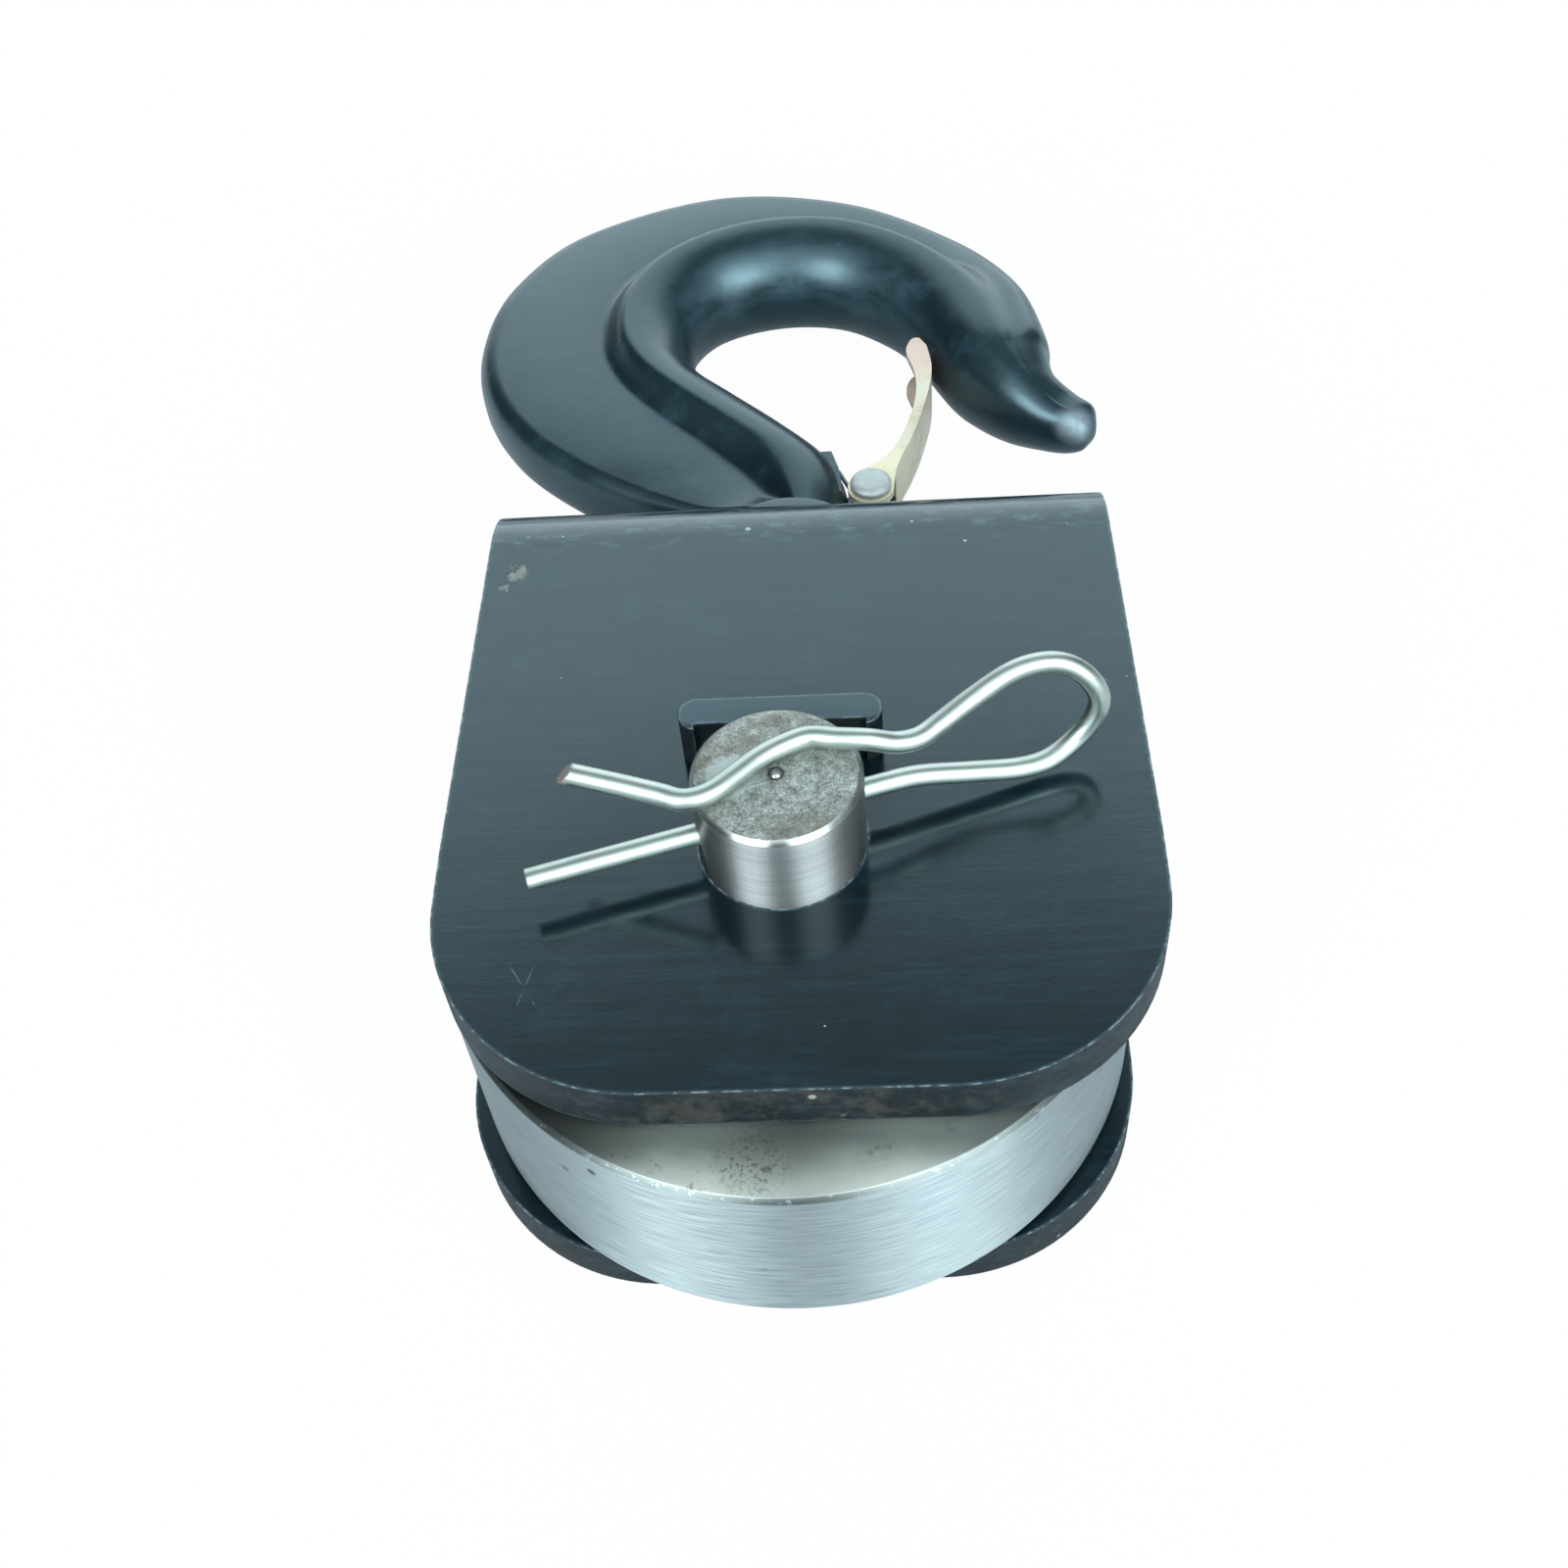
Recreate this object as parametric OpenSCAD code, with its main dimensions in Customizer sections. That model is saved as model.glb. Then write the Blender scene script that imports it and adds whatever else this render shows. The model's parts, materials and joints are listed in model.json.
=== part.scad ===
// Single-sheave snatch block with a swivel safety hook.
// The block lies on its back cheek: +Z runs along the axle to the clip end and
// +Y runs to the hook. The origin is on the axle axis, in the plane of the back face.

/* [Strap] */
// Width of the strap plate
strap_w = 150; // [130:1:160]
// Thickness of the strap plate
strap_t = 12; // [9:0.5:14]
// Inside radius of the two bends
bend_r = 11; // [8:0.5:14]
// Axle axis to the outer face of the web
web_y = 113; // [110:1:125]
// Axle axis to the straight bottom edge of the front cheek
front_drop = 59; // [52:1:66]
// Axle axis to the straight bottom edge of the back cheek
back_drop = 62; // [52:1:66]
// Radius of the bottom corners of both cheeks
cheek_corner_r = 45; // [20:1:55]
// Sideways offset of the front cheek from the axle
front_shift = 3; // [-5:0.5:5]
// How much nearer each side of the plate is at the web than at the axle
web_taper = 2.3; // [0:0.1:5]
// Radius of the plate's corners at the web
web_corner_r = 6; // [1:0.5:8]

/* [Stop lug] */
// Length of the lug across the cheek
lug_l = 43; // [30:1:60]
// Depth of the lug towards the hook
lug_w = 8.5; // [6:0.5:14]
// Height of the lug above the cheek
lug_h = 12.5; // [11:0.5:14]
// Gap between the axle and the lug
lug_gap = 2.6; // [1:0.1:6]
// Radius of the rounded ends of the lug
lug_end_r = 4; // [1:0.5:4]
// Length of the shallow notch that faces the axle
lug_notch_l = 36; // [20:1:40]
// Depth of the notch
lug_notch_d = 1.5; // [0.5:0.1:3]

/* [Sheave] */
// Rim diameter of the sheave
sheave_d = 150; // [120:1:156]
// Width of the sheave
sheave_w = 50; // [49:0.5:60]
// Gap between the sheave and each cheek
side_gap = 2.4; // [1:0.1:5]
// Chamfer on both rim edges
rim_chamfer = 1; // [0.3:0.1:3]
// Depth of the shallow turned face between hub and rim
web_recess = 0.8; // [0.2:0.1:2]
// Width of the raised band at the rim
rim_band = 9; // [4:0.5:14]

/* [Axle] */
// Diameter of the axle and bore of the bearings
axle_d = 35; // [30:1:38]
// Length of the axle that stands proud of the front cheek
axle_proud = 21.8; // [18:0.1:30]
// Chamfer on the axle's front end
axle_chamfer = 1.1; // [0.5:0.1:3]
// Diameter of the axle head, flush in the back cheek
axle_head_d = 47; // [42:1:60]
// Thickness of the axle head
axle_head_t = 5.5; // [3:0.5:7]
// Diameter of the round pip in the middle of the front end
pip_d = 2.6; // [1:0.1:5]
// Height of the pip
pip_h = 0.9; // [0.2:0.1:1.3]
// End face of the axle to the centre of the cross hole
hole_drop = 12.3; // [8:0.1:13]
// Turn of the cross hole from the X axis, in degrees
hole_turn = 16.5; // [0:0.5:20]

/* [Clip] */
// Wire diameter of the spring clip
wire_d = 4.6; // [3:0.1:5]
// Axle axis to the free end of the straight leg
clip_leg = 53; // [40:1:60]
// Axle axis to the outer side of the loop
clip_reach = 69; // [62:0.5:76]

/* [Bearings] */
// Outer diameter of each ball bearing
bearing_d = 72; // [68:1:80]
// Width of each ball bearing
bearing_w = 17; // [14:0.5:17]
// Ball diameter
ball_d = 11.1; // [9:0.1:11.5]
// Number of balls in each bearing
ball_count = 9; // [6:1:10]
// Thickness of each bearing shield
shield_t = 0.8; // [0.5:0.1:1]
// Thickness of the retaining rings in the hub
circlip_t = 2.5; // [1.5:0.1:3]
// Depth of the retaining ring grooves
groove_deep = 1.5; // [1:0.1:2.5]
// Width left outside each groove
groove_land = 1.35; // [1:0.05:3]
// Outer diameter of the side washers and the bearing sleeve
washer_d = 45; // [42:1:46]

/* [Hook] */
// Diameter of the bowl
bowl_d = 58; // [50:1:64]
// Outer face of the strap's web to the centre of the bowl
bowl_reach = 85.5; // [80:0.5:100]
// Sideways offset of the bowl from the shank
bowl_shift = 1; // [-4:0.5:6]
// Thickness of the raised ridge round the bowl
ridge_t = 35; // [30:1:42]
// Thickness of the flat outer flange
flange_t = 20; // [14:1:26]
// Diameter of the shank in the strap's web
shank_d = 28; // [24:1:32]
// Diameter of the collar outside the web
collar_d = 44; // [36:1:50]
// Thickness of the collar
collar_t = 8; // [4:1:10]
// Diameter of the threaded end of the shank
thread_d = 27; // [22:1:30]
// Height of the nut
nut_h = 12; // [8:0.5:14]
// Width of the nut across its flats
nut_af = 41; // [38:1:46]
// Thickness of the thrust washer
thrust_t = 3; // [2:0.5:4]
// Diameter of the thrust washer
thrust_d = 44; // [38:1:45]
// Diameter of the roll pin that locks the nut
roll_pin_d = 5; // [3:0.5:6]

/* [Latch] */
// Latch pivot, sideways from the shank
latch_x = 20.6; // [20:0.2:24]
// Latch pivot, from the outer face of the web
latch_y = 25.3; // [23:0.1:28]
// Height of the latch over both flanges
latch_h = 16; // [14:0.5:20]
// Thickness of the latch sheet
latch_t = 2; // [1:0.1:2.5]
// How far the latch's back stands outside the line from its pivot to its tip
latch_bow = 5.5; // [4:0.1:6]
// Width of the flanges at the tip
latch_flange_w = 5.4; // [4:0.1:7]
// Radius of the latch ears round the pivot
ear_r = 6.1; // [4.8:0.1:6.2]
// Diameter of the latch pin
latch_pin_d = 6; // [4:0.2:6]
// Diameter of the latch pin's two heads
latch_head_d = 10.8; // [9:0.2:12]
// Height of the hook's boss between the ears
boss_h = 5; // [4:0.5:6]
// Height of the shoulder on the neck beside the latch
shoulder_h = 18; // [14:0.5:20]
// Wire diameter of the latch spring
spring_wire = 1.1; // [0.8:0.1:1.2]

/* [Fits] */
// Radial clearance of every running fit
running_fit = 0.05; // [0.02:0.01:0.1]
// Gap where two pieces that move apart rest against each other
rest_gap = 0.3; // [0.3:0.05:0.6]

/* [Hidden] */
$fn = 96;
eps = 0.01;

// Levels along the axle
gap_w = sheave_w + 2 * side_gap;
front_in = strap_t + gap_w;
front_z = front_in + strap_t;
mid_z = front_z / 2;
axle_end = front_z + axle_proud;
hole_z = axle_end - hole_drop;
sheave_z = strap_t + side_gap;
groove_w = circlip_t + 3 * running_fit;
// Depth of each bearing's outer face below the sheave's side
bearing_drop = groove_land + groove_w;
shoulder_w = sheave_w - 2 * (bearing_drop + bearing_w);
washer_t = side_gap + bearing_drop;
// Radius of the ball whose cap is the pip
pip_ball_r = (pip_d * pip_d / 4 + pip_h * pip_h) / pip_h / 2;
web_in = web_y - strap_t;
bearing_bore = axle_d + 2 * running_fit;
// Rings of the bearing, from the bore outwards
pitch_r = (axle_d + bearing_d) / 4;
ball_r = ball_d / 2;
race_r = ball_r + running_fit;
inner_land_r = pitch_r - 0.6 * ball_r;
outer_land_r = pitch_r + 0.6 * ball_r;
shield_seat_r = outer_land_r + 1.2;
shield_in = 0.5;
// Hook and shank along Y
bowl_y = web_y + bowl_reach;
thrust_y = web_in - thrust_t;
nut_y = thrust_y - running_fit - nut_h;
pivot_y = web_y + latch_y;
ear_in = latch_h / 2 - latch_t;

// A tube along Z from level z0
module tube(od, id, z0, h) {
    translate([0, 0, z0]) difference() {
        cylinder(d = od, h = h);
        translate([0, 0, -1]) cylinder(d = id, h = h + 2);
    }
}

// A disc along Z whose two edges are broken by c
module broken_disc(r, z0, h, c) {
    translate([0, 0, z0]) rotate_extrude()
        polygon([[0, 0], [r - c, 0], [r, c], [r, h - c], [r - c, h], [0, h]]);
}

// A cylinder along +Y from y0, centred on the shank
module along_y(d, y0, h) {
    translate([0, y0, mid_z]) rotate([-90, 0, 0]) cylinder(d = d, h = h);
}

// Strap

// Outline from the axle to the web, which tapers and ends in two round corners
module upper_outline() {
    w = strap_w / 2;
    c = web_corner_r;
    x = w - web_taper - c;
    polygon(concat(
        [[-w, 0], [w, 0]],
        [for (a = [0:15:90]) [x + c * cos(a), web_y - c + c * sin(a)]],
        [for (a = [90:15:180]) [-x + c * cos(a), web_y - c + c * sin(a)]]
    ));
}

// Outline of one cheek with round bottom corners, moved sideways by shift
module cheek_outline(shift, drop) {
    r = cheek_corner_r;
    x = strap_w / 2 - r;
    translate([shift, 0]) {
        for (s = [-1, 1]) translate([s * x, r - drop]) circle(r = r);
        translate([-x, -drop]) square([2 * x, r]);
        translate([-strap_w / 2, r - drop]) square([strap_w, drop - r]);
        upper_outline();
    }
}

// Side view of the bent plate, drawn in Y and Z
module strap_side() {
    r = bend_r + strap_t;
    y = web_y - r;
    translate([-back_drop, 0]) square([y + back_drop, strap_t]);
    translate([-front_drop, front_in]) square([y + front_drop, strap_t]);
    translate([web_in, r]) square([strap_t, front_z - 2 * r]);
    for (s = [0, 1]) translate([y, s == 0 ? r : front_z - r]) intersection() {
        difference() {
            circle(r = r);
            circle(r = bend_r);
        }
        translate([0, s == 0 ? -r : 0]) square([r, r]);
    }
}

// Space round the flat web, which leans from the back cheek over to the front one
module web_space() {
    r = bend_r + strap_t;
    hull() {
        translate([0, 0, r - eps]) linear_extrude(eps) upper_outline();
        translate([front_shift, 0, front_z - r]) linear_extrude(eps) upper_outline();
    }
}

module strap() {
    r = bend_r + strap_t;
    color([0.16, 0.21, 0.24]) difference() {
        intersection() {
            translate([strap_w, 0, 0]) rotate([90, 0, -90])
                mirror([1, 0, 0]) linear_extrude(2 * strap_w) strap_side();
            union() {
                translate([0, 0, -1]) linear_extrude(r + 1) cheek_outline(0, back_drop);
                web_space();
                translate([0, 0, front_z - r]) linear_extrude(r + 1)
                    cheek_outline(front_shift, front_drop);
            }
        }
        translate([0, 0, -1]) cylinder(r = axle_d / 2 + running_fit, h = front_z + 2);
        translate([0, 0, -1]) cylinder(r = axle_head_d / 2 + rest_gap, h = axle_head_t + 1);
        along_y(shank_d + 2 * running_fit, web_in - 1, strap_t + 2);
        // spot face that seats the thrust washer between the bends
        along_y(thrust_d + 2 * rest_gap, web_in - bend_r, bend_r);
    }
}

module stop_lug() {
    y0 = axle_d / 2 + lug_gap;
    x = lug_l / 2 - lug_end_r;
    color([0.16, 0.21, 0.24]) translate([0, y0, front_z]) difference() {
        linear_extrude(lug_h) union() {
            for (s = [-1, 1]) {
                translate([s * x, lug_end_r]) circle(r = lug_end_r);
                translate([s * x, lug_w - lug_end_r]) circle(r = lug_end_r);
            }
            translate([-x, 0]) square([2 * x, lug_w]);
            translate([-lug_l / 2, lug_end_r]) square([lug_l, max(lug_w - 2 * lug_end_r, eps)]);
        }
        translate([-lug_notch_l / 2, -1, -1]) cube([lug_notch_l, lug_notch_d + 1, lug_h + 2]);
    }
}

// Axle and clip

module axle() {
    r = axle_d / 2;
    color([0.55, 0.55, 0.55]) difference() {
        union() {
            rotate_extrude() polygon([
                [0, 0], [axle_head_d / 2 - 0.6, 0], [axle_head_d / 2, 0.6],
                [axle_head_d / 2, axle_head_t], [r, axle_head_t],
                [r, axle_end - axle_chamfer], [r - axle_chamfer, axle_end], [0, axle_end]
            ]);
            translate([0, 0, axle_end + pip_h - pip_ball_r]) sphere(r = pip_ball_r);
        }
        translate([0, 0, hole_z]) rotate([0, 0, hole_turn]) rotate([0, 90, 0])
            cylinder(d = wire_d + 4 * running_fit, h = 2 * axle_d, center = true);
    }
}

// Bent part of the clip from the straight leg round the loop and over the axle.
// Each point is the way along the leg, the way across it, and the rise above it.
// Rises over the axle follow the end face, so that the wave rests on it.
clip_rise = hole_drop + wire_d / 2 + rest_gap;
loop_x = clip_reach - 69;
clip_route = [
    [22, 0, 0], [30, 0, -0.7], [41 + loop_x, -0.9, -3], [51 + loop_x, -1.7, -4.9],
    [58 + loop_x, -1.4, -4.9], [64.5 + loop_x, 0, -2], [68 + loop_x, 0.5, 2.5],
    [69 + loop_x, 0.8, 8], [67 + loop_x, 2.3, 13], [63 + loop_x, 4.3, 16.5],
    [58 + loop_x, 5.4, 17.8], [51.5 + loop_x, 5.7, 17], [43 + loop_x, 4.4, 14],
    [35, 2, 11.8], [30, 0.3, 11.2], [25, 0, 12], [19.5, 0.8, clip_rise - 0.7],
    [14, 2.4, clip_rise], [8.4, 4.8, clip_rise], [2.6, 4.3, clip_rise],
    [-2.6, 2.8, clip_rise], [-7.3, 0.6, clip_rise], [-12.5, -1.9, clip_rise],
    [-16.2, -2.8, clip_rise], [-19.8, -2.2, clip_rise], [-23.6, 0.6, clip_rise],
    [-31.3, 6, clip_rise], [-39.3, 11.4, clip_rise]
];

// Points of a smooth curve through a list of points, with n steps to each span
function smooth_path(p, n) = concat(
    [for (i = [0:len(p) - 2], k = [0:n - 1]) let (
        a = p[max(i - 1, 0)],
        b = p[i],
        c = p[i + 1],
        d = p[min(i + 2, len(p) - 1)],
        t = k / n
    ) (2 * b + (c - a) * t + (2 * a - 5 * b + 4 * c - d) * t * t
        + (3 * b - 3 * c + d - a) * t * t * t) / 2],
    [p[len(p) - 1]]
);

function unit(v) = v / norm(v);

// Direction of travel at point i of a path
function heading(p, i) = unit(p[min(i + 1, len(p) - 1)] - p[max(i - 1, 0)]);

// Side directions carried along a path without twist
function sides(p, i = 0, s = [0, 1, 0]) =
    let (h = heading(p, i), n = unit(s - (s * h) * h))
    i == len(p) - 1 ? [n] : concat([n], sides(p, i + 1, n));

// Triangles that join the rings of a closed tube, each ring with n points
function tube_faces(rings, n) = concat(
    [for (j = [1:n - 2]) [0, j, j + 1]],
    [for (i = [0:rings - 2], j = [0:n - 1], h = [0, 1]) let (
        a = i * n + j,
        b = i * n + (j + 1) % n
    ) h == 0 ? [a, a + n, b] : [b, a + n, b + n]],
    [for (j = [1:n - 2]) [(rings - 1) * n, (rings - 1) * n + j + 1, (rings - 1) * n + j]]
);

// A round wire along a path. The flats of its n sides lie on the given radius.
module wire(path, r, n) {
    side = sides(path);
    corner_r = r / cos(180 / n);
    points = [for (i = [0:len(path) - 1], j = [0:n - 1]) let (
        h = heading(path, i),
        s = side[i],
        a = 360 * j / n
    ) path[i] + corner_r * (cos(a) * s + sin(a) * cross(h, s))];
    polyhedron(points, tube_faces(len(path), n));
}

module spring_clip() {
    color([0.75, 0.78, 0.78]) translate([0, 0, hole_z]) rotate([0, 0, hole_turn]) {
        translate([-clip_leg, 0, 0]) rotate([0, 90, 0])
            cylinder(d = wire_d, h = clip_leg + clip_route[0][0] + 1);
        wire(smooth_path(clip_route, 3), wire_d / 2 + 0.02, 12);
    }
}

// Sheave and bearings

module sheave() {
    r = sheave_d / 2;
    hub_r = bearing_d / 2 + groove_deep + 6;
    color([0.7, 0.72, 0.74]) translate([0, 0, sheave_z]) difference() {
        broken_disc(r, 0, sheave_w, rim_chamfer);
        translate([0, 0, -1]) cylinder(d = outer_land_r * 2, h = sheave_w + 2);
        for (z = [-1, sheave_w - bearing_drop - bearing_w])
            translate([0, 0, z]) cylinder(d = bearing_d, h = bearing_drop + bearing_w + 1);
        for (z = [groove_land, sheave_w - groove_land - groove_w])
            translate([0, 0, z]) cylinder(r = bearing_d / 2 + groove_deep, h = groove_w);
        // shallow turned faces between the hub and the rim band
        for (z = [-1, sheave_w - web_recess])
            tube(2 * (r - rim_band), 2 * hub_r, z, web_recess + 1);
    }
}

// Level of the middle of a bearing: 0 is the back one, 1 the front one
function bearing_z(i) = i == 0
    ? sheave_z + bearing_drop + bearing_w / 2
    : sheave_z + sheave_w - bearing_drop - bearing_w / 2;

// The groove that the balls run in
module ball_groove(z) {
    translate([0, 0, z]) rotate_extrude() translate([pitch_r, 0]) circle(r = race_r);
}

module outer_ring(i) {
    z = bearing_z(i);
    seat = shield_in + shield_t;
    color([0.6, 0.61, 0.62]) difference() {
        tube(bearing_d, 2 * outer_land_r, z - bearing_w / 2, bearing_w);
        ball_groove(z);
        for (s = [-1, 1]) translate([0, 0, z + s * (bearing_w / 2 - seat / 2 + 0.5)])
            cylinder(r = shield_seat_r, h = seat + 1, center = true);
    }
}

module inner_ring(i) {
    z = bearing_z(i);
    color([0.6, 0.61, 0.62]) difference() {
        tube(2 * inner_land_r, bearing_bore, z - bearing_w / 2, bearing_w);
        ball_groove(z);
    }
}

module balls(i) {
    color([0.8, 0.8, 0.82]) for (k = [0:ball_count - 1])
        rotate([0, 0, 360 * k / ball_count]) translate([pitch_r, 0, bearing_z(i)])
            sphere(r = ball_r);
}

module cage(i) {
    clear = 0.6;
    half_h = bearing_w / 2 - shield_in - shield_t - clear;
    color([0.7, 0.6, 0.35]) difference() {
        tube(2 * (outer_land_r - clear), 2 * (inner_land_r + clear), bearing_z(i) - half_h,
            2 * half_h);
        for (k = [0:ball_count - 1]) rotate([0, 0, 360 * k / ball_count])
            translate([pitch_r - ball_d / 2, 0, bearing_z(i)]) rotate([0, 90, 0])
                cylinder(r = ball_r + 3 * running_fit, h = ball_d);
    }
}

module shields(i) {
    z = bearing_z(i);
    in_r = inner_land_r + 0.4;
    color([0.5, 0.5, 0.52]) {
        tube(2 * shield_seat_r, 2 * in_r, z + bearing_w / 2 - shield_in - shield_t, shield_t);
        tube(2 * shield_seat_r, 2 * in_r, z - bearing_w / 2 + shield_in, shield_t);
    }
}

module bearing_sleeve() {
    color([0.55, 0.55, 0.55])
        tube(washer_d, bearing_bore, sheave_z + bearing_drop + bearing_w, shoulder_w);
}

// Retaining ring in the hub, with a gap and two drilled ears
module retaining_ring(z0) {
    out_r = bearing_d / 2 + groove_deep - 2 * running_fit;
    ring_w = 5;
    gap = 6;
    ear_turn = 12;
    ear_out_r = 4.2;
    ear_way = out_r - ring_w - 1;
    color([0.25, 0.25, 0.27]) translate([0, 0, z0]) linear_extrude(circlip_t) difference() {
        union() {
            difference() {
                circle(r = out_r);
                circle(r = out_r - ring_w);
                translate([out_r - 2 * ring_w, -gap / 2]) square([3 * ring_w, gap]);
            }
            for (s = [-1, 1]) rotate(s * ear_turn) translate([ear_way, 0]) circle(r = ear_out_r);
        }
        for (s = [-1, 1]) rotate(s * ear_turn) translate([ear_way, 0]) circle(d = 3);
    }
}

module front_retaining_ring() {
    retaining_ring(sheave_z + sheave_w - bearing_drop + running_fit);
}

module back_retaining_ring() {
    retaining_ring(sheave_z + bearing_drop - running_fit - circlip_t);
}

module side_washer(z0) {
    color([0.6, 0.58, 0.5]) tube(washer_d, bearing_bore, z0, washer_t);
}

// Hook

// Point at an angle and a distance from the centre of the bowl
function from_bowl(a, r) = [bowl_shift + r * cos(a), bowl_y + r * sin(a)];

// Sections of the forging from the shank round the bowl to the tip. Each has its
// inner and outer point, half the ridge's and half the flange's thickness, and the
// widths of the round nose, of the ridge and of the round outer edge.
bowl_r = bowl_d / 2;
neck_x = shank_d / 2;
neck_rows = [
    [10.2, -48.8, -45.2, -61, 0.47, 0.43],
    [1, -38, -61.5, -50, 0.49, 0.47],
    [-12.8, -24.5, -78, -34, 0.5, 0.5]
];
tip_rows = [
    [33.3, 3.7, 64.8, 20.1, 17.2, 13, 16, 26, 10],
    [40.5, -10.7, 70.8, -2.5, 16.8, 14.3, 14.5, 20, 12],
    [46.3, -18.5, 70.8, -10, 15.3, 13.8, 12, 14.5, 12],
    [55, -27.5, 72.2, -18, 12.3, 11.8, 9, 10, 9.5],
    [64, -34, 77.6, -24.4, 8.7, 8.5, 6.5, 7.5, 6.5],
    [70.8, -37.1, 81.5, -28, 7.2, 7.2, 5.5, 6, 5.5],
    [76.2, -38.2, 81.8, -31.5, 4.6, 4.6, 3, 4, 3],
    [78.5, -37.6, 81.6, -33.5, 2, 2, 1.4, 1.8, 1.4]
];
hook_sections = concat(
    [
        [neck_x + 1, web_y + collar_t / 2, -neck_x - 1, web_y + collar_t / 2,
            neck_x + 1, neck_x + 1, 13, 15, 12],
        [neck_x + 0.6, web_y + 13, -neck_x - 2.5, web_y + 13, 14.8, 14.2, 13, 15, 12],
        [neck_x + 0.8, web_y + 25, -neck_x - 14, web_y + 16, 15.5, 11, 14, 24, 8]
    ],
    // neck, measured from the centre of the bowl
    [for (s = neck_rows) [bowl_shift + s[0], bowl_y + s[1], bowl_shift + s[2], bowl_y + s[3],
        s[4] * ridge_t, flange_t / 2, s[5] * ridge_t, 28, 8]],
    // bowl: inner angle, what its radius is more or less there, outer angle, width of
    // the section, and width of the ridge
    [for (s = [[212, -1.5, 189, 60.7, 28], [188, 0.2, 175, 62.7, 28],
        [160, 1.5, 159, 62.3, 28], [130, 1.2, 139, 57.5, 28], [98, -1, 109, 47.7, 28],
        [64, -1, 77, 39.7, 26], [30, 0.5, 44, 37.3, 26]])
        concat(from_bowl(s[0], bowl_r + s[1]), from_bowl(s[2], bowl_r + s[3]),
            [ridge_t / 2, flange_t / 2, ridge_t / 2, s[4], 8])],
    // tip and its knob, measured from the centre of the bowl
    [for (s = tip_rows) concat(
        [bowl_shift + s[0], bowl_y + s[1], bowl_shift + s[2], bowl_y + s[3]],
        [s[4], s[5], s[6], s[7], s[8]]
    )]
);

// Half of a section: way from the inner point, then height above the mid-plane
function section_half(w, s) = let (
    nose = min(s[6], 0.46 * w),
    edge = min(s[8], 0.46 * w),
    foot = min(max(s[7], nose + 0.04 * w), w - edge)
) concat(
    [for (k = [0:4]) [nose * (1 - cos(22.5 * k)), s[4] * sin(22.5 * k)]],
    [for (k = [1:3]) let (t = k / 3)
        [nose + (foot - nose) * t, s[4] + (s[5] - s[4]) * t * t * (3 - 2 * t)]],
    [for (k = [1:4]) [w - edge + edge * sin(22.5 * k), s[5] * pow(max(cos(22.5 * k), 0), 0.75)]]
);

// Closed ring of points in space for one section
function section_ring(s) = let (
    inner = [s[0], s[1]],
    across = [s[2], s[3]] - inner,
    w = norm(across),
    half = section_half(w, s),
    n = len(half),
    loop = concat(half, [for (k = [n - 2:-1:1]) [half[k][0], -half[k][1]]])
) [for (q = loop) let (xy = inner + across * q[0] / w) [xy[0], xy[1], mid_z - q[1]]];

module hook_forging() {
    rings = [for (s = smooth_path(hook_sections, 3)) section_ring(s)];
    n = len(rings[0]);
    points = [for (ring = rings) each ring];
    polyhedron(points, tube_faces(len(rings), n));
}

module hook() {
    color([0.15, 0.19, 0.21]) difference() {
        union() {
            hook_forging();
            along_y(collar_d, web_y + rest_gap, collar_t);
            along_y(shank_d, thrust_y, strap_t + thrust_t + collar_t / 2 + 1);
            along_y(thread_d, nut_y, nut_h + 1);
            // low shoulder on the neck beside the latch's ear
            translate([bowl_shift + neck_rows[0][0], bowl_y + neck_rows[0][1], mid_z - shoulder_h / 2])
                linear_extrude(shoulder_h)
                    polygon([[-0.8, 1.8], [1, -4.7], [1.6, -8.7], [1.6, -14], [-3, -14], [-5, 1.8]]);
            // boss that carries the latch pin
            translate([latch_x, pivot_y, mid_z])
                cylinder(r = ear_r + 0.5, h = boss_h, center = true);
        }
        translate([latch_x, pivot_y, mid_z]) cylinder(d = latch_pin_d, h = 3 * ear_in, center = true);
        translate([0, nut_y + nut_h / 2, mid_z]) cylinder(d = roll_pin_d, h = 2 * nut_af, center = true);
    }
}

module hook_thrust_washer() {
    color([0.7, 0.6, 0.35]) difference() {
        along_y(thrust_d, thrust_y, thrust_t);
        along_y(shank_d + 2 * running_fit, thrust_y - 1, thrust_t + 2);
    }
}

module hook_nut() {
    color([0.6, 0.62, 0.62]) difference() {
        intersection() {
            translate([0, nut_y, mid_z]) rotate([-90, 30, 0])
                cylinder(d = nut_af / cos(30), h = nut_h, $fn = 6);
            along_y(nut_af / cos(30) - 2.4, nut_y, nut_h);
        }
        along_y(thread_d, nut_y - 1, nut_h + 2);
        translate([0, nut_y + nut_h / 2, mid_z]) cylinder(d = roll_pin_d, h = 2 * nut_af, center = true);
    }
}

module nut_roll_pin() {
    color([0.45, 0.45, 0.47]) translate([0, nut_y + nut_h / 2, mid_z])
        cylinder(d = roll_pin_d, h = nut_af - 1, center = true);
}

// Latch

// The latch lies along the line from its pivot to the place where its tip rests
// against the throat of the hook, between the first two sections of the hook's tip
pivot = [latch_x, pivot_y];
throat = [for (i = [0, 1]) [bowl_shift + tip_rows[i][0], bowl_y + tip_rows[i][1]]];
throat_way = unit(throat[0] - throat[1]);
latch_tip = (throat[0] + throat[1]) / 2 + (rest_gap + 0.05) * [-throat_way[1], throat_way[0]];
latch_len = norm(latch_tip - pivot);
latch_way = unit(latch_tip - pivot);
latch_side = [latch_way[1], -latch_way[0]];

// Point at a part of the latch's length and a distance to the outer side
function on_latch(u, v) = pivot + u * latch_len * latch_way + v * latch_side;

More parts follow.
